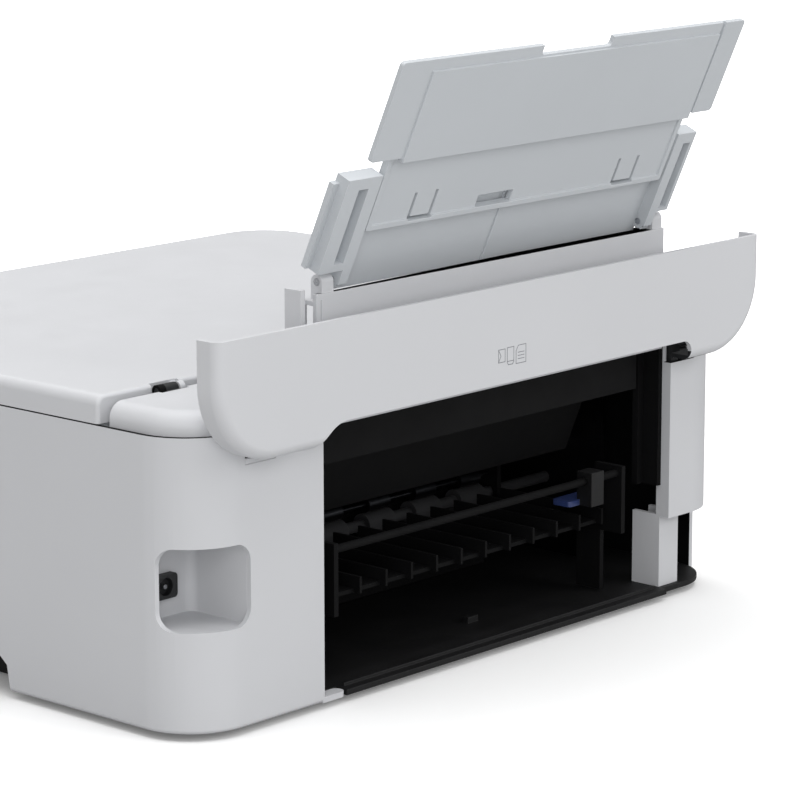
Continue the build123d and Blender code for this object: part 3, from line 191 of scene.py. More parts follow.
def brushedSteel(name, colour, rough):
    finish = Finish(name)
    stretch = finish.add("ShaderNodeMapping")
    stretch.inputs["Scale"].default_value = (0.03, 1.0, 1.0)
    finish.link(finish.place, stretch.inputs["Vector"])
    finish.place = stretch.outputs["Vector"]
    streak = finish.noise(2400.0, 3.0)
    tone = finish.spread(streak, 0.0, 1.0)
    rub = finish.edges(0.0006, 0.85, 0.99)
    body = finish.blend(tone, shade(colour, 0.86), shade(colour, 1.06))
    finish.colour(finish.blend(finish.math("MULTIPLY", rub, 0.6), body, shade(colour, 1.35)))
    finish.rough(finish.spread(streak, rough - 0.07, rough + 0.07))
    finish.bump(streak, 0.2, 0.00003)
    finish.shader.inputs["Metallic"].default_value = 1.0
    return finish.material


def rubberFinish(name, colour):
    finish = Finish(name)
    speck = finish.noise(420.0, 4.0)
    rub = finish.edges(0.0008, 0.85, 0.99)
    body = finish.blend(finish.spread(speck, 0.0, 1.0), shade(colour, 0.75), shade(colour, 1.35))
    dust = finish.math("MULTIPLY", rub, finish.spread(finish.noise(60.0, 3.0), 0.1, 0.7))
    finish.colour(finish.blend(dust, body, shade(colour, 3.2)))
    finish.rough(finish.spread(speck, 0.7, 0.9))
    finish.bump(finish.math("ADD", speck, finish.noise(1700.0, 2.0)), 0.5, 0.0001)
    return finish.material


def foamFinish(name, colour):
    finish = Finish(name)
    cells = finish.add("ShaderNodeTexVoronoi")
    cells.inputs["Scale"].default_value = 900.0
    finish.link(finish.place, cells.inputs["Vector"])
    pore = finish.spread(cells.outputs["Distance"], 0.0, 1.0, 0.1, 0.6)
    edge = finish.math("MULTIPLY", finish.edges(0.0015, 0.8, 0.99), 0.4)
    body = finish.blend(pore, shade(colour, 1.06), shade(colour, 0.82))
    finish.colour(finish.blend(edge, body, shade(colour, 1.1)))
    finish.rough(finish.spread(finish.noise(30.0), 0.86, 0.98))
    finish.bump(pore, 0.6, 0.0003)
    finish.shader.inputs["Sheen Weight"].default_value = 0.15
    return finish.material


def circuitBoard(name, colour):
    finish = Finish(name)
    tracks = finish.add("ShaderNodeTexBrick", offset=0.5, squash=0.7)
    tracks.inputs["Scale"].default_value = 90.0
    tracks.inputs["Mortar Size"].default_value = 0.06
    tracks.inputs["Color1"].default_value = shade(colour, 0.9)
    tracks.inputs["Color2"].default_value = shade(colour, 1.15)
    tracks.inputs["Mortar"].default_value = shade(colour, 1.9)
    turn = finish.add("ShaderNodeMapping")
    turn.inputs["Rotation"].default_value = (0, math.radians(90), 0)
    finish.link(finish.place, turn.inputs["Vector"])
    finish.link(turn.outputs["Vector"], tracks.inputs["Vector"])
    rub = finish.math("MULTIPLY", finish.edges(0.0005, 0.85, 0.99), 0.5)
    finish.colour(finish.blend(rub, tracks.outputs["Color"], shade(colour, 2.4)))
    finish.rough(finish.spread(finish.noise(200.0), 0.25, 0.45))
    finish.bump(tracks.outputs["Fac"], 0.3, 0.0001)
    return finish.material


def clearGlass(name, colour):
    finish = Finish(name)
    smear = finish.noise(26.0, 4.0)
    rub = finish.edges(0.0006, 0.85, 0.99)
    tint = finish.blend(finish.spread(smear, 0.0, 1.0), shade(colour, 0.97), colour)
    finish.colour(finish.blend(finish.math("MULTIPLY", rub, 0.5), tint, linear(205, 232, 222)))
    finish.rough(finish.spread(smear, 0.02, 0.07))
    finish.bump(finish.noise(90.0), 0.04, 0.00003)
    finish.shader.inputs["Transmission Weight"].default_value = 0.92
    finish.shader.inputs["IOR"].default_value = 1.5
    return finish.material


finishes = {name: mouldedPlastic(name, look) for name, look in plasticLooks.items()}
finishes["darkSteel"] = brushedSteel("darkSteel", linear(52, 53, 56), 0.38)
finishes["shaftSteel"] = brushedSteel("shaftSteel", linear(196, 198, 202), 0.24)
finishes["platedSteel"] = brushedSteel("platedSteel", linear(150, 152, 156), 0.4)
finishes["rollerRubber"] = rubberFinish("rollerRubber", linear(38, 38, 40))
finishes["whiteFoam"] = foamFinish("whiteFoam", linear(222, 222, 218))
finishes["wasteFelt"] = foamFinish("wasteFelt", linear(196, 194, 186))
finishes["boardGreen"] = circuitBoard("boardGreen", linear(22, 84, 52))
finishes["flatGlass"] = clearGlass("flatGlass", linear(238, 246, 243))
print("finishes made:", len(finishes))


nodeFinish = {
    "shellLight": ["body_shell", "rear_deck", "flap", "tower", "lid", "control_panel", "output_tray",
                   "tray_extension", "inlet_recess"],
    "supportGrey": ["support_base", "support_mid", "support_top", "edge_guide_left",
                    "edge_guide_right", "home_key", "power_key", "glass_frame"],
    "blackPlastic": ["power_inlet", "lid_hinges", "flap_hubs", "capping_station", "sensor_bar", "carriage",
                     "cassette_guide_left", "cassette_guide_right"],
    # these inner parts take the near-black that carries painted shade
    "shadedInnerBlack": ["platen", "feed_chute", "tower_guides", "scanner_tub", "power_supply", "cassette",
                   "print_head", "drive_belt"],
    "floorBlack": ["base_tray", "width_tab"],
    "gearNylon": ["feed_gear", "idler_gear", "exit_gear", "motor_pinion", "drive_pulley", "idler_pulley",
                  "star_wheels", "ink_dampers", "ink_tanks"],
    "shaftSteel": ["sensor_rod", "support_pins"],
    "darkSteel": ["carriage_shaft", "pinch_rollers", "side_frames", "rail_beam"],
    "platedSteel": ["motors"],
    "rollerRubber": ["feet", "feed_roller", "exit_roller"],
    "whiteFoam": ["lid_pad"],
    "wasteFelt": ["waste_pad"],
    "boardGreen": ["main_board"],
    "flatGlass": ["scanner_glass"],
    "smokedWindow": ["ink_window", "display_screen"],
}


def dress(piece, finishName):
    piece.data.materials.clear()
    piece.data.materials.append(finishes[finishName])


def place(name, mesh):  # an object for a mesh that already stands where it belongs
    piece = bpy.data.objects.new(name, mesh)
    bpy.context.scene.collection.objects.link(piece)
    return piece


def fasten(piece, body):
    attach(piece, body)
    print(piece.name, len(piece.data.polygons), "faces")


def span(node):  # a node's box in millimetres
    low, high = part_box(node)
    return [c / mm for c in low], [c / mm for c in high]


finishOf = {node: name for name, members in nodeFinish.items() for node in members}
for node, piece in nodes.items():
    dress(piece, finishOf[node])
bodyOf = {node: body for body, members in frame["record"]["behaviour"]["bodies"].items() for node in members}
print("frame dressed")


softened = {
    "body_shell": 0.5, "rear_deck": 0.4, "flap": 0.4, "tower": 0.4, "lid": 0.5, "support_base": 0.45,
    "support_mid": 0.35, "support_top": 0.35, "inlet_recess": 0.35, "power_inlet": 0.3, "control_panel": 0.4,
    "output_tray": 0.4, "tray_extension": 0.3, "cassette": 0.4, "width_tab": 0.3, "base_tray": 0.4,
    "flap_hubs": 0.3, "lid_hinges": 0.3, "carriage": 0.5, "platen": 0.3, "edge_guide_left": 0.3,
    "edge_guide_right": 0.3, "feet": 0.6, "glass_frame": 0.3, "home_key": 0.25, "power_key": 0.25,
    "power_supply": 0.5, "feed_chute": 0.3, "cassette_guide_left": 0.3, "cassette_guide_right": 0.3,
}


paintLimits = {  # millimetres in the frame's own axes
    # the casing, jamb, leg, mouth, hub pocket and deck underside limits bound painted shade; the others bound
    # the parts' own colours
    "casing": {"half": (201.5, 173.5), "corner": 32.0, "skin": 1.7, "foot": 4.2},
    "jamb": {"x": (-152.0, 116.0), "y": 164.0, "facing": -0.9},
    "leg": {"x": (-167.0, -149.0), "y": 149.0, "z": 46.0},
    "mouth": {"x": 160.0, "y": 146.0, "z": (50.0, 93.0)},
    "hubPocketShade": {"x": (-166.0, -142.0), "y": 189.6, "z": (133.6, 146.0), "facing": 0.9},
    "inletPins": {"x": (182.3, 190.9), "z": 67.4, "reach": 1.25},
    "deckUnderside": -0.5,
    "cassetteFront": -167.0,
    "tabTop": 62.3,
}


def within(value, limits):
    return limits[0] < value < limits[1]


def insideShellShade(centre, normal):  # painted shade: walls that face the works are painted near-black
    casing, jamb, leg, mouth = (paintLimits[name] for name in ("casing", "jamb", "leg", "mouth"))
    margins = [half - abs(c) for half, c in zip(casing["half"], (centre.x, centre.y))]
    inCorner = [max(casing["corner"] - margin, 0.0) for margin in margins]
    depth = casing["corner"] - math.hypot(*inCorner) if all(inCorner) else min(margins)
    onJamb = centre.y > jamb["y"] and within(centre.x, jamb["x"]) and normal.y > jamb["facing"]
    onLeg = within(centre.x, leg["x"]) and centre.y > leg["y"] and centre.z < leg["z"]
    onMouth = centre.x > mouth["x"] and centre.y > mouth["y"] and within(centre.z, mouth["z"])
    return depth > casing["skin"] and centre.z > casing["foot"] and not (onJamb or onLeg or onMouth)


# painted shade: the deck's downward faces are painted near-black
def underDeckShade(centre, normal):
    return normal.z < paintLimits["deckUnderside"]


def cassetteFront(centre, normal):
    return centre.y < paintLimits["cassetteFront"]


def tabPlate(centre, normal):
    return centre.z < paintLimits["tabTop"]


# painted shade: the flap's light inner lip round the hinge hub is painted black, standing in for the dark hub
# pocket
def hubPocketShade(centre, normal):
    pocket = paintLimits["hubPocketShade"]
    return (within(centre.x, pocket["x"]) and within(centre.z, pocket["z"]) and centre.y < pocket["y"]
            and normal.y < pocket["facing"])


def inletPin(centre, normal):
    pins = paintLimits["inletPins"]
    return (abs(centre.z - pins["z"]) < pins["reach"]
            and min(abs(centre.x - x) for x in pins["x"]) < pins["reach"])


secondFinish = {  # node: other finish, and which faces wear it
    # the shell's inner walls, the deck's underside and the flap's lip by the hub get painted shade; the other
    # entries are the parts' own colours
    "body_shell": ("shadedInnerBlack", insideShellShade),
    "rear_deck": ("shadedInnerBlack", underDeckShade),
    "cassette": ("shellLight", cassetteFront),
    "width_tab": ("blueTab", tabPlate),
    "flap": ("blackPlastic", hubPocketShade),
    "power_inlet": ("platedSteel", inletPin),
}


easing = {"weld": 0.002, "flat": 0.6, "segments": 2, "sharp": 32.0}  # millimetres and degrees


def soften(node, radius):  # the same walls with a small radius on every sharp edge
    mesh = nodes[node].data.copy()
    piece = place(node + "Moulding", mesh)
    dress(piece, finishOf[node])
    work = bmesh.new()
    work.from_mesh(mesh)
    bmesh.ops.remove_doubles(work, verts=work.verts, dist=easing["weld"] * mm)
    flat = math.radians(easing["flat"])
    bmesh.ops.dissolve_limit(work, angle_limit=flat, verts=work.verts, edges=work.edges)
    for face in work.faces:
        face.smooth = True
        face.material_index = 0
    if node in secondFinish:
        other, wears = secondFinish[node]
        mesh.materials.append(finishes[other])
        for face in work.faces:
            if wears(face.calc_center_median() / mm, face.normal):
                face.material_index = 1
    work.to_mesh(mesh)
    work.free()
    bevel = piece.modifiers.new("easedEdges", "BEVEL")
    bevel.width = radius * mm
    bevel.segments = easing["segments"]
    bevel.limit_method = "ANGLE"
    bevel.angle_limit = math.radians(easing["sharp"])
    bevel.use_clamp_overlap = True
    bevel.harden_normals = False
    normals = piece.modifiers.new("faceNormals", "WEIGHTED_NORMAL")
    normals.keep_sharp = True
    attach(piece, bodyOf[node])
    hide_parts(node)


for node, radius in softened.items():
    soften(node, radius)
print("mouldings softened:", len(softened))


chanceSeed = 7


class Pattern:  # a Geometry Nodes group that sets one item at every vertex of its own mesh
    def __init__(self, name):
        self.tree = bpy.data.node_groups.new(name, "GeometryNodeTree")
        self.tree.interface.new_socket("Places", in_out="INPUT", socket_type="NodeSocketGeometry")
        self.tree.interface.new_socket("Items", in_out="OUTPUT", socket_type="NodeSocketGeometry")
        self.start = self.add("NodeGroupInput")
        self.end = self.add("NodeGroupOutput")
        self.sockets = {}

    def add(self, kind, **settings):
        node = self.tree.nodes.new(kind)
        for key, value in settings.items():
            setattr(node, key, value)
        return node

    def link(self, source, target):
        self.tree.links.new(source, target)

    def given(self, name, kind="NodeSocketFloat"):
        made = self.tree.interface.new_socket(name, in_out="INPUT", socket_type=kind)
        self.sockets[name] = made.identifier
        return next(out for out in self.start.outputs if out.identifier == made.identifier)

    def raised(self, mesh, height, taper, chosen=None):  # a face drawn up and narrowed
        lift = self.add("GeometryNodeExtrudeMesh", mode="FACES")
        lift.inputs["Individual"].default_value = False
        self.link(mesh, lift.inputs["Mesh"])
        self.link(height, lift.inputs["Offset Scale"])
        if chosen:
            self.link(chosen, lift.inputs["Selection"])
        narrow = self.add("GeometryNodeScaleElements", domain="FACE")
        self.link(lift.outputs["Mesh"], narrow.inputs["Geometry"])
        self.link(lift.outputs["Top"], narrow.inputs["Selection"])
        if isinstance(taper, float):
            narrow.inputs["Scale"].default_value = taper
        else:
            self.link(taper, narrow.inputs["Scale"])
        return narrow.outputs["Geometry"], lift.outputs["Top"]

    def spreadOut(self, item, facing, spin, material):  # turned to face one way, each spun by chance
        scatter = self.add("GeometryNodeInstanceOnPoints")
        align = self.add("FunctionNodeAlignRotationToVector", axis="Z")
        roll = self.add("FunctionNodeRotateRotation", rotation_space="LOCAL")
        turn = self.add("FunctionNodeAxisAngleToRotation")
        turn.inputs["Axis"].default_value = (0, 0, 1)
        chance = self.add("FunctionNodeRandomValue", data_type="FLOAT")
        for socket in chance.inputs:
            if socket.name == "Max" and socket.type == "VALUE" and socket.enabled:
                self.link(spin, socket)
            if socket.name == "Seed":
                socket.default_value = chanceSeed
        angle = next(out for out in chance.outputs if out.type == "VALUE" and out.enabled)
        self.link(angle, turn.inputs["Angle"])
        self.link(facing, align.inputs["Vector"])
        self.link(align.outputs["Rotation"], roll.inputs["Rotation"])
        self.link(turn.outputs["Rotation"], roll.inputs["Rotate By"])
        self.link(roll.outputs["Rotation"], scatter.inputs["Rotation"])
        self.link(self.start.outputs[0], scatter.inputs["Points"])
        self.link(item, scatter.inputs["Instance"])
        real = self.add("GeometryNodeRealizeInstances")
        self.link(scatter.outputs["Instances"], real.inputs["Geometry"])
        paint = self.add("GeometryNodeSetMaterial")
        self.link(material, paint.inputs["Material"])
        self.link(real.outputs["Geometry"], paint.inputs["Geometry"])
        self.link(paint.outputs["Geometry"], self.end.inputs[0])


screwShape = {"sides": 24, "crownTaper": 0.62, "recessRise": 1.9, "weld": 0.000001}


def screwPattern():  # pan head with a cross recess
    pattern = Pattern("screwHeads")
    radius = pattern.given("Head Radius")
    skirt = pattern.given("Skirt Height")
    crown = pattern.given("Crown Height")
    arm = pattern.given("Cross Size", "NodeSocketVector")
    facing = pattern.given("Facing", "NodeSocketVector")
    spin = pattern.given("Spin")
    material = pattern.given("Finish", "NodeSocketMaterial")
    disc = pattern.add("GeometryNodeMeshCircle", fill_type="NGON")
    disc.inputs["Vertices"].default_value = screwShape["sides"]
    pattern.link(radius, disc.inputs["Radius"])
    low, top = pattern.raised(disc.outputs["Mesh"], skirt, 1.0)
    head, top = pattern.raised(low, crown, screwShape["crownTaper"], top)
    seat = pattern.add("GeometryNodeMeshCircle", fill_type="NGON")
    seat.inputs["Vertices"].default_value = screwShape["sides"]
    pattern.link(radius, seat.inputs["Radius"])
    under = pattern.add("GeometryNodeFlipFaces")
    pattern.link(seat.outputs["Mesh"], under.inputs["Mesh"])
    whole = pattern.add("GeometryNodeJoinGeometry")
    pattern.link(head, whole.inputs[0])
    pattern.link(under.outputs["Mesh"], whole.inputs[0])
    merged = pattern.add("GeometryNodeMergeByDistance")
    merged.inputs["Distance"].default_value = screwShape["weld"]
    pattern.link(whole.outputs["Geometry"], merged.inputs["Geometry"])
    bars = pattern.add("GeometryNodeJoinGeometry")
    for quarter in (0.0, math.pi / 2):
        bar = pattern.add("GeometryNodeMeshCube")
        pattern.link(arm, bar.inputs["Size"])
        move = pattern.add("GeometryNodeTransform")
        rise = pattern.add("ShaderNodeCombineXYZ")
        pattern.link(crown, rise.inputs["Z"])
        lifted = pattern.add("ShaderNodeVectorMath", operation="SCALE")
        lifted.inputs["Scale"].default_value = screwShape["recessRise"]
        pattern.link(rise.outputs["Vector"], lifted.inputs[0])
        pattern.link(lifted.outputs["Vector"], move.inputs["Translation"])
        move.inputs["Rotation"].default_value = (0, 0, quarter)
        pattern.link(bar.outputs["Mesh"], move.inputs["Geometry"])
        pattern.link(move.outputs["Geometry"], bars.inputs[0])
    cut = pattern.add("GeometryNodeMeshBoolean", operation="DIFFERENCE", solver="EXACT")
    cut.inputs["Self Intersection"].default_value = True
    pattern.link(merged.outputs["Geometry"], cut.inputs["Mesh 1"])
    pattern.link(bars.outputs["Geometry"], cut.inputs["Mesh 2"])
    pattern.spreadOut(cut.outputs["Mesh"], facing, spin, material)
    return pattern


def studPattern():  # a low tooth, bar or tile with sloping flanks
    pattern = Pattern("lowStuds")
    length = pattern.given("Length")
    breadth = pattern.given("Breadth")
    height = pattern.given("Height")
    taper = pattern.given("Taper")
    facing = pattern.given("Facing", "NodeSocketVector")
    spin = pattern.given("Spin")
    material = pattern.given("Finish", "NodeSocketMaterial")
    grid = pattern.add("GeometryNodeMeshGrid")
    grid.inputs["Vertices X"].default_value = 2
    grid.inputs["Vertices Y"].default_value = 2
    pattern.link(length, grid.inputs["Size X"])
    pattern.link(breadth, grid.inputs["Size Y"])
    stud, top = pattern.raised(grid.outputs["Mesh"], height, taper)
    pattern.spreadOut(stud, facing, spin, material)
    return pattern


patterns = {"screw": screwPattern(), "stud": studPattern()}


def repeat(name, kind, body, places, settings, finish):  # bake one pattern over its places
    mesh = bpy.data.meshes.new(name)
    mesh.from_pydata([tuple(c * mm for c in spot) for spot in places], [], [])
    piece = place(name, mesh)
    pattern = patterns[kind]
    modifier = piece.modifiers.new("pattern", "NODES")
    modifier.node_group = pattern.tree
    for key, value in settings.items():
        modifier[pattern.sockets[key]] = value
    modifier[pattern.sockets["Finish"]] = finishes[finish]
    bpy.context.view_layer.update()
    graph = bpy.context.evaluated_depsgraph_get()
    baked = bpy.data.meshes.new_from_object(piece.evaluated_get(graph), depsgraph=graph)
    piece.modifiers.clear()
    piece.data = baked
    fasten(piece, body)


beltTeeth = {"pitch": 3.0, "wall": 1.2, "tooth": {
    "Length": 1.1 * mm, "Breadth": 4.6 * mm, "Height": 0.28 * mm, "Taper": 0.6, "Spin": 0.0}}
beltLow, beltHigh = span("drive_belt")
beltLoop = beltHigh[2] - beltLow[2]
beltY = (beltLow[1] + beltHigh[1]) / 2
toothCount = int((beltHigh[0] - beltLow[0] - beltLoop) / beltTeeth["pitch"])
toothPlaces = [beltLow[0] + beltLoop / 2 + beltTeeth["pitch"] * k for k in range(toothCount)]
for name, height, facing in (("beltTeethLower", beltLow[2] + beltTeeth["wall"], (0, 0, 1)),
                             ("beltTeethUpper", beltHigh[2] - beltTeeth["wall"], (0, 0, -1))):
    repeat(name, "stud", "root", [(x, beltY, height) for x in toothPlaces],
           dict(beltTeeth["tooth"], Facing=facing), "rollerRubber")

screws = {  # the head, and where the screws sit
    "head": {"Head Radius": 2.6 * mm, "Skirt Height": 0.5 * mm, "Crown Height": 0.75 * mm,
             "Cross Size": (3.0 * mm, 0.7 * mm, 1.3 * mm), "Spin": 3.0},
    "rail": {"count": 5, "endInset": 16, "rearInset": 6.0},
    "frame": {"face": 150.0 + 1.6, "y": (-30.0, 100.0), "z": (20.0, 66.0, 102.0)},
    "base": {"x": (-150.0, 150.0), "y": (-120.0, 70.0)},
}
railLow, railHigh = span("rail_beam")
railPitch = (railHigh[0] - railLow[0] - 2 * screws["rail"]["endInset"]) / (screws["rail"]["count"] - 1)
railPlaces = [(railLow[0] + screws["rail"]["endInset"] + k * railPitch,
               railLow[1] + screws["rail"]["rearInset"], railHigh[2]) for k in range(screws["rail"]["count"])]
framePlaces = [(screws["frame"]["face"], y, z) for y in screws["frame"]["y"] for z in screws["frame"]["z"]]
baseFloor = span("base_tray")[0][2]
basePlaces = [(x, y, baseFloor) for x in screws["base"]["x"] for y in screws["base"]["y"]]
for name, places, facing in (("railScrews", railPlaces, (0, 0, 1)), ("frameScrews", framePlaces, (1, 0, 0)),
                             ("baseScrews", basePlaces, (0, 0, -1))):
    repeat(name, "screw", "root", places, dict(screws["head"], Facing=facing), "platedSteel")

screenTiles = {"columns": 4, "rows": (-7.5, 7.5), "tile": {
    "Length": 13.0 * mm, "Breadth": 9.0 * mm, "Height": 0.12 * mm, "Taper": 0.94, "Facing": (0, -1, 0),
    "Spin": 0.0}}
screenLow, screenHigh = span("display_screen")
tilePitch = (screenHigh[0] - screenLow[0]) / screenTiles["columns"]
screenMiddle = (screenLow[2] + screenHigh[2]) / 2
repeat("displayTiles", "stud", "panel",
       [(screenLow[0] + tilePitch * (k + 0.5), screenLow[1], screenMiddle + row)
        for k in range(screenTiles["columns"]) for row in screenTiles["rows"]],
       screenTiles["tile"], "displayGlow")

tanks = {  # ink tanks behind the window: places, ink heights, colours, and the level marks
    "first": 0.6 + 4.3, "pitch": 10.0,
    "levels": (58.0, 64.0, 49.0, 66.0, 54.0),
    "inks": (linear(20, 20, 24), linear(24, 96, 160), linear(168, 34, 92), linear(208, 176, 24),
             linear(52, 54, 60)),
    "walls": (linear(188, 190, 192), linear(202, 203, 204)), "rubbed": linear(225, 226, 227),
    "lowMark": 7.0, "highMark": 8.0,
    "mark": {"Length": 5.4 * mm, "Breadth": 0.6 * mm, "Height": 0.08 * mm, "Taper": 0.9, "Facing": (0, -1, 0),
             "Spin": 0.0},
}
windowLow, windowHigh = span("ink_window")
tankMiddles = [windowLow[0] + tanks["first"] + k * tanks["pitch"] for k in range(len(tanks["levels"]))]
repeat("levelMarks", "stud", "root",
       [(x, windowLow[1], z) for x in tankMiddles
        for z in (windowLow[2] + tanks["lowMark"], windowHigh[2] - tanks["highMark"])],
       tanks["mark"], "markInk")


def inkTanks():  # each tank shows its own ink, up to its own level
    mesh = nodes["ink_tanks"].data.copy()
    piece = place("inkTankBodies", mesh)
    mesh.materials.clear()
    for tank, (level, ink) in enumerate(zip(tanks["levels"], tanks["inks"])):
        finish = Finish("inkTank" + str(tank))
        split = finish.add("ShaderNodeSeparateXYZ")
        finish.link(finish.place, split.inputs["Vector"])
        wave = finish.spread(finish.noise(60.0), -0.3 * mm, 0.3 * mm)
        depth = finish.math("SUBTRACT", level * mm, finish.math("ADD", split.outputs["Z"], wave))
        filled = finish.spread(depth, 0.0, 1.0, 0.0, 0.6 * mm)
        wall = finish.blend(finish.spread(finish.noise(40.0), 0.0, 1.0), *tanks["walls"])
        rub = finish.math("MULTIPLY", finish.edges(0.0006, 0.85, 0.99), 0.4)
        finish.colour(finish.blend(rub, finish.blend(filled, wall, ink), tanks["rubbed"]))
        finish.rough(finish.spread(finish.noise(80.0), 0.18, 0.3))
        finish.bump(finish.noise(700.0), 0.1, 0.00004)
        mesh.materials.append(finish.material)
    for face in mesh.polygons:
        distances = [abs(face.center.x / mm - middle) for middle in tankMiddles]
        face.material_index = distances.index(min(distances))
    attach(piece, "root")
    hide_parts("ink_tanks")
    print("ink tanks filled:", len(tankMiddles))


inkTanks()
markTaper = 0.96  # raised lines narrow a little towards their face


def lineWork(name, body, strokes, width, rise, plane, finish):  # thin raised lines on a face
    origin, across, up = (Vector(v) for v in plane)
    outward = across.cross(up)
    work = bmesh.new()

    def at(u, v, h):
        return work.verts.new((origin + across * u + up * v + outward * h) * mm)

    for stroke in strokes:
        for (u0, v0), (u1, v1) in zip(stroke, stroke[1:]):
            length = math.hypot(u1 - u0, v1 - v0)
            du, dv = (u1 - u0) / length, (v1 - v0) / length
            su, sv = -dv * width / 2, du * width / 2
            eu, ev = du * width / 2, dv * width / 2
            foot = [(u0 - eu + su, v0 - ev + sv), (u0 - eu - su, v0 - ev - sv),
                    (u1 + eu - su, v1 + ev - sv), (u1 + eu + su, v1 + ev + sv)]
            middle = ((u0 + u1) / 2, (v0 + v1) / 2)
            low = [at(u, v, 0.0) for u, v in foot]
            high = [at(middle[0] + (u - middle[0]) * markTaper, middle[1] + (v - middle[1]) * markTaper, rise)
                    for u, v in foot]
            work.faces.new(high)
            for k in range(4):
                work.faces.new((low[k], low[(k + 1) % 4], high[(k + 1) % 4], high[k]))
    bmesh.ops.recalc_face_normals(work, faces=work.faces)
    for face in work.faces:
        if face.calc_center_median().dot(outward) > (origin * mm).dot(outward) + rise * mm * 0.9:
            if face.normal.dot(outward) < 0:
                bmesh.ops.reverse_faces(work, faces=work.faces)
            break
    mesh = bpy.data.meshes.new(name)
    work.to_mesh(mesh)
    work.free()
    mesh.materials.append(finishes[finish])
    fasten(place(name, mesh), body)


def ring(centreU, centreV, radius, start, stop, steps):  # part of a circle, in degrees from the top
    turns = [math.radians(start + (stop - start) * k / steps) for k in range(steps + 1)]
    return [(centreU + radius * math.sin(turn), centreV + radius * math.cos(turn)) for turn in turns]


ribShape = {"foot": 1.4, "crest": 0.7}  # half widths of a rib


def slab(name, body, look):  # thin plate, plain or ribbed on its front
    (left, front, bottom), (right, back, top) = look["low"], look["high"]
    mesh = bpy.data.meshes.new(name)
    work = bmesh.new()
    columns = [(left, 0.0)]
    for rib in range(look["ribs"]):
        middle = left + (right - left) * (rib + 0.5) / look["ribs"]
        columns += [(middle - ribShape["foot"], 0.0), (middle - ribShape["crest"], look["ribDepth"]),
                    (middle + ribShape["crest"], look["ribDepth"]), (middle + ribShape["foot"], 0.0)]
    columns.append((right, 0.0))
    outline = [(x, front - depth) for x, depth in columns] + [(x, back) for x, depth in reversed(columns)]
    rows = [[work.verts.new((x * mm, y * mm, z * mm)) for x, y in outline] for z in (bottom, top)]
    work.faces.new(rows[0])
    work.faces.new(rows[1])
    for k in range(len(outline)):
        following = (k + 1) % len(outline)
        work.faces.new((rows[0][k], rows[0][following], rows[1][following], rows[1][k]))
    bmesh.ops.recalc_face_normals(work, faces=work.faces)
    work.to_mesh(mesh)
    work.free()
    mesh.materials.append(finishes[look["finish"]])
    piece = place(name, mesh)
    bevel = piece.modifiers.new("easedEdges", "BEVEL")
    bevel.width = look["easing"] * mm
    bevel.segments = easing["segments"]
    bevel.limit_method = "ANGLE"
    fasten(piece, body)


towerFoot = span("tower")[0][2]
towerApron = {"low": (-136.0, 160.2, 115.0), "high": (114.0, 161.8, towerFoot - 0.1), "ribs": 11,
              "ribDepth": 1.6, "easing": 0.5, "finish": "shadedInnerBlack"}
pocketSill = {"low": (146.2, 171.2, 128.05), "high": (165.8, 173.4, 130.6), "ribs": 0, "ribDepth": 0.0,
              "easing": 0.3, "finish": "shellLight"}
slab("towerApron", "tower", towerApron)  # dark ribbed guide under the pop-up wall, in near-black that includes painted shade
slab("pocketSill", "root", pocketSill)  # closes the hinge pocket below the flap

flapFace = span("flap")[1][1]
paperMarks = {"line": 0.34, "rise": 0.05, "strokes": [  # envelope, long envelope and ruled sheet
    [(-10.2, 154.6), (-10.2, 160.9), (-5.3, 160.9), (-5.3, 154.6), (-10.2, 154.6)],
    [(-10.2, 160.9), (-8.4, 157.8), (-10.2, 154.6)],
    [(-3.7, 153.9), (-3.7, 161.2), (1.2, 161.2), (1.2, 153.9), (0.3, 152.7), (-2.8, 152.7), (-3.7, 153.9)],
    [(-3.7, 154.4), (1.2, 154.4)],
    [(2.9, 152.4), (2.9, 158.8), (4.6, 161.3), (10.3, 161.3), (10.3, 152.4), (2.9, 152.4)],
    [(4.4, 157.8), (9.0, 157.8)], [(4.4, 156.2), (9.0, 156.2)], [(4.4, 154.6), (9.0, 154.6)],
]}
lineWork("paperPictograms", "flap", paperMarks["strokes"], paperMarks["line"],
         paperMarks["rise"], ((0, flapFace, 0), (-1, 0, 0), (0, 0, 1)), "markInk")

keyMarks = {"line": 0.5, "rise": 0.06}  # a house on one key, a ring with a bar on the other


def keyMark(name, key, drawn):  # drawn says the strokes about the middle of the key
    low, high = span(key)
    middleX, middleZ = (low[0] + high[0]) / 2, (low[2] + high[2]) / 2
    strokes = [[(middleX + u, middleZ + v) for u, v in stroke] for stroke in drawn]
    lineWork(name, key, strokes, keyMarks["line"], keyMarks["rise"],
             ((0, low[1], 0), (1, 0, 0), (0, 0, 1)), "markInk")


keyMark("homeMark", "home_key", [[(-3.4, 0.0), (0.0, 3.2), (3.4, 0.0)],
                                 [(-2.3, 0.4), (-2.3, -2.8), (2.3, -2.8), (2.3, 0.4)]])
keyMark("powerMark", "power_key", [ring(0.0, 0.0, 2.9, 35, 325, 20), [(0.0, 0.6), (0.0, 3.6)]])
print("details placed")


studio = {"floorSize": 14.0, "seenFloor": linear(252, 252, 252), "floorBounce": 0.5, "nearGlow": 0.1,
          "glowReach": (0.3, 1.3), "world": 0.34, "seenWorld": 1.0}


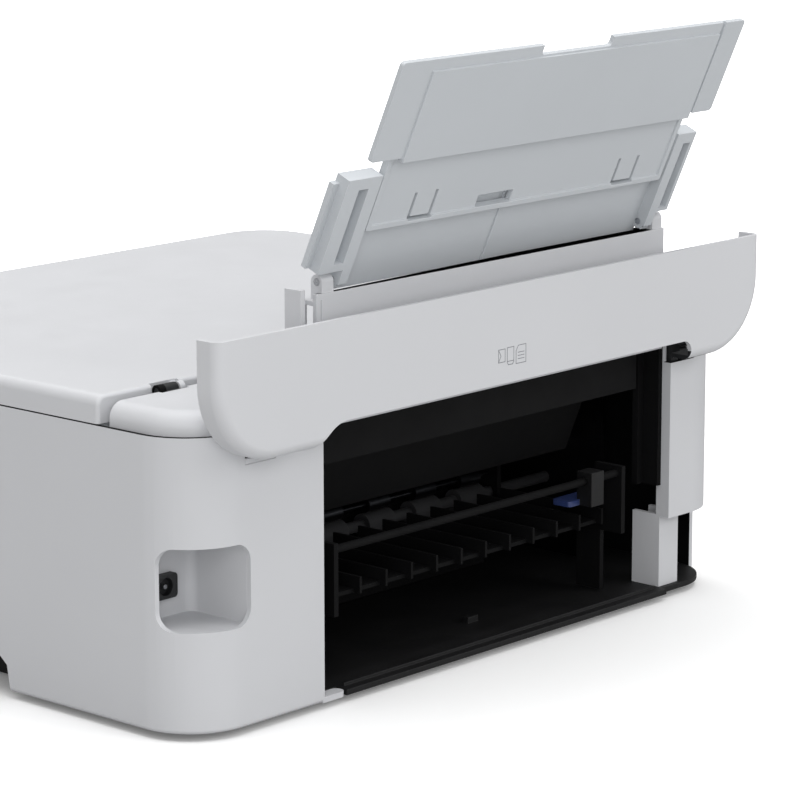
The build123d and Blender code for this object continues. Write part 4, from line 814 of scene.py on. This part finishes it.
def studioFloor():
    mesh = bpy.data.meshes.new("studioFloor")
    half = studio["floorSize"] / 2
    corners = [(-half, -half, 0), (half, -half, 0), (half, half, 0), (-half, half, 0)]
    mesh.from_pydata(corners, [], [(0, 1, 2, 3)])
    floor = place("studioFloor", mesh)
    paper = Finish("studioPaper")
    cloud = paper.spread(paper.noise(1.5), 0.0, 1.0)
    tone = paper.blend(cloud, shade(studio["seenFloor"], 0.995), studio["seenFloor"])
    path = paper.add("ShaderNodeLightPath")
    seen = path.outputs["Is Camera Ray"]
    paper.colour(paper.blend(seen, shade(studio["seenFloor"], studio["floorBounce"]), tone))
    paper.rough(paper.spread(paper.noise(3.0), 0.75, 0.85))
    reach = paper.add("ShaderNodeVectorMath", operation="LENGTH")
    paper.link(paper.place, reach.inputs[0])
    glow = paper.spread(reach.outputs["Value"], studio["nearGlow"], 1.0, *studio["glowReach"])
    paper.link(paper.math("MULTIPLY", glow, seen), paper.shader.inputs["Emission Strength"])
    paper.shader.inputs["Emission Color"].default_value = (1, 1, 1, 1)
    mesh.materials.append(paper.material)


studioFloor()

lamps = {  # name: place, aim, width, height, watts
    "topSoftbox": ((0.15, 0.1, 2.2), (0, 0, 0.1), 2.4, 2.4, 46.0),
    "rearSoftbox": ((-1.1, 2.2, 1.1), (0, 0.1, 0.15), 1.8, 1.6, 20.0),
    "cornerSoftbox": ((1.9, 1.9, 0.9), (0.1, 0.1, 0.12), 1.2, 1.6, 24.0),
    "frontFill": ((-0.7, -2.4, 1.2), (0, 0, 0.1), 1.6, 1.4, 11.0),
}


def aimAt(thing, spot, target):
    thing.location = spot
    thing.rotation_euler = (Vector(target) - Vector(spot)).to_track_quat("-Z", "Y").to_euler()


for name, (spot, target, width, height, watts) in lamps.items():
    data = bpy.data.lights.new(name, "AREA")
    data.shape = "RECTANGLE"
    data.size = width
    data.size_y = height
    data.energy = watts
    lamp = bpy.data.objects.new(name, data)
    bpy.context.scene.collection.objects.link(lamp)
    aimAt(lamp, spot, target)

world = bpy.data.worlds.new("studioWorld")
world.use_nodes = True
sky = world.node_tree
background = sky.nodes["Background"]
background.inputs["Color"].default_value = (1, 1, 1, 1)
seen = sky.nodes.new("ShaderNodeLightPath")
strength = sky.nodes.new("ShaderNodeMapRange")
strength.inputs["To Min"].default_value = studio["world"]
strength.inputs["To Max"].default_value = studio["seenWorld"]
sky.links.new(seen.outputs["Is Camera Ray"], strength.inputs["Value"])
sky.links.new(strength.outputs["Result"], background.inputs["Strength"])
bpy.context.scene.world = world
bpy.context.scene.view_settings.view_transform = "Standard"

view = {"azimuth": 132.082, "elevation": 11.982, "roll": -0.06, "lens": 158.1, "sensor": 36.0,
        "place": (1.2768, 1.2717, 0.4895)}
cameraData = bpy.data.cameras.new("camera")
cameraData.lens = view["lens"]
cameraData.sensor_width = view["sensor"]
camera = bpy.data.objects.new("camera", cameraData)
bpy.context.scene.collection.objects.link(camera)
azimuth, elevation = math.radians(view["azimuth"]), math.radians(view["elevation"])
back = Vector((math.sin(azimuth) * math.cos(elevation), -math.cos(azimuth) * math.cos(elevation),
               math.sin(elevation)))
turn = (-back).to_track_quat("-Z", "Y").to_matrix() @ Matrix.Rotation(math.radians(view["roll"]), 3, "Z")
camera.matrix_world = Matrix.Translation(view["place"]) @ turn.to_4x4()
bpy.context.scene.camera = camera
print("studio set")
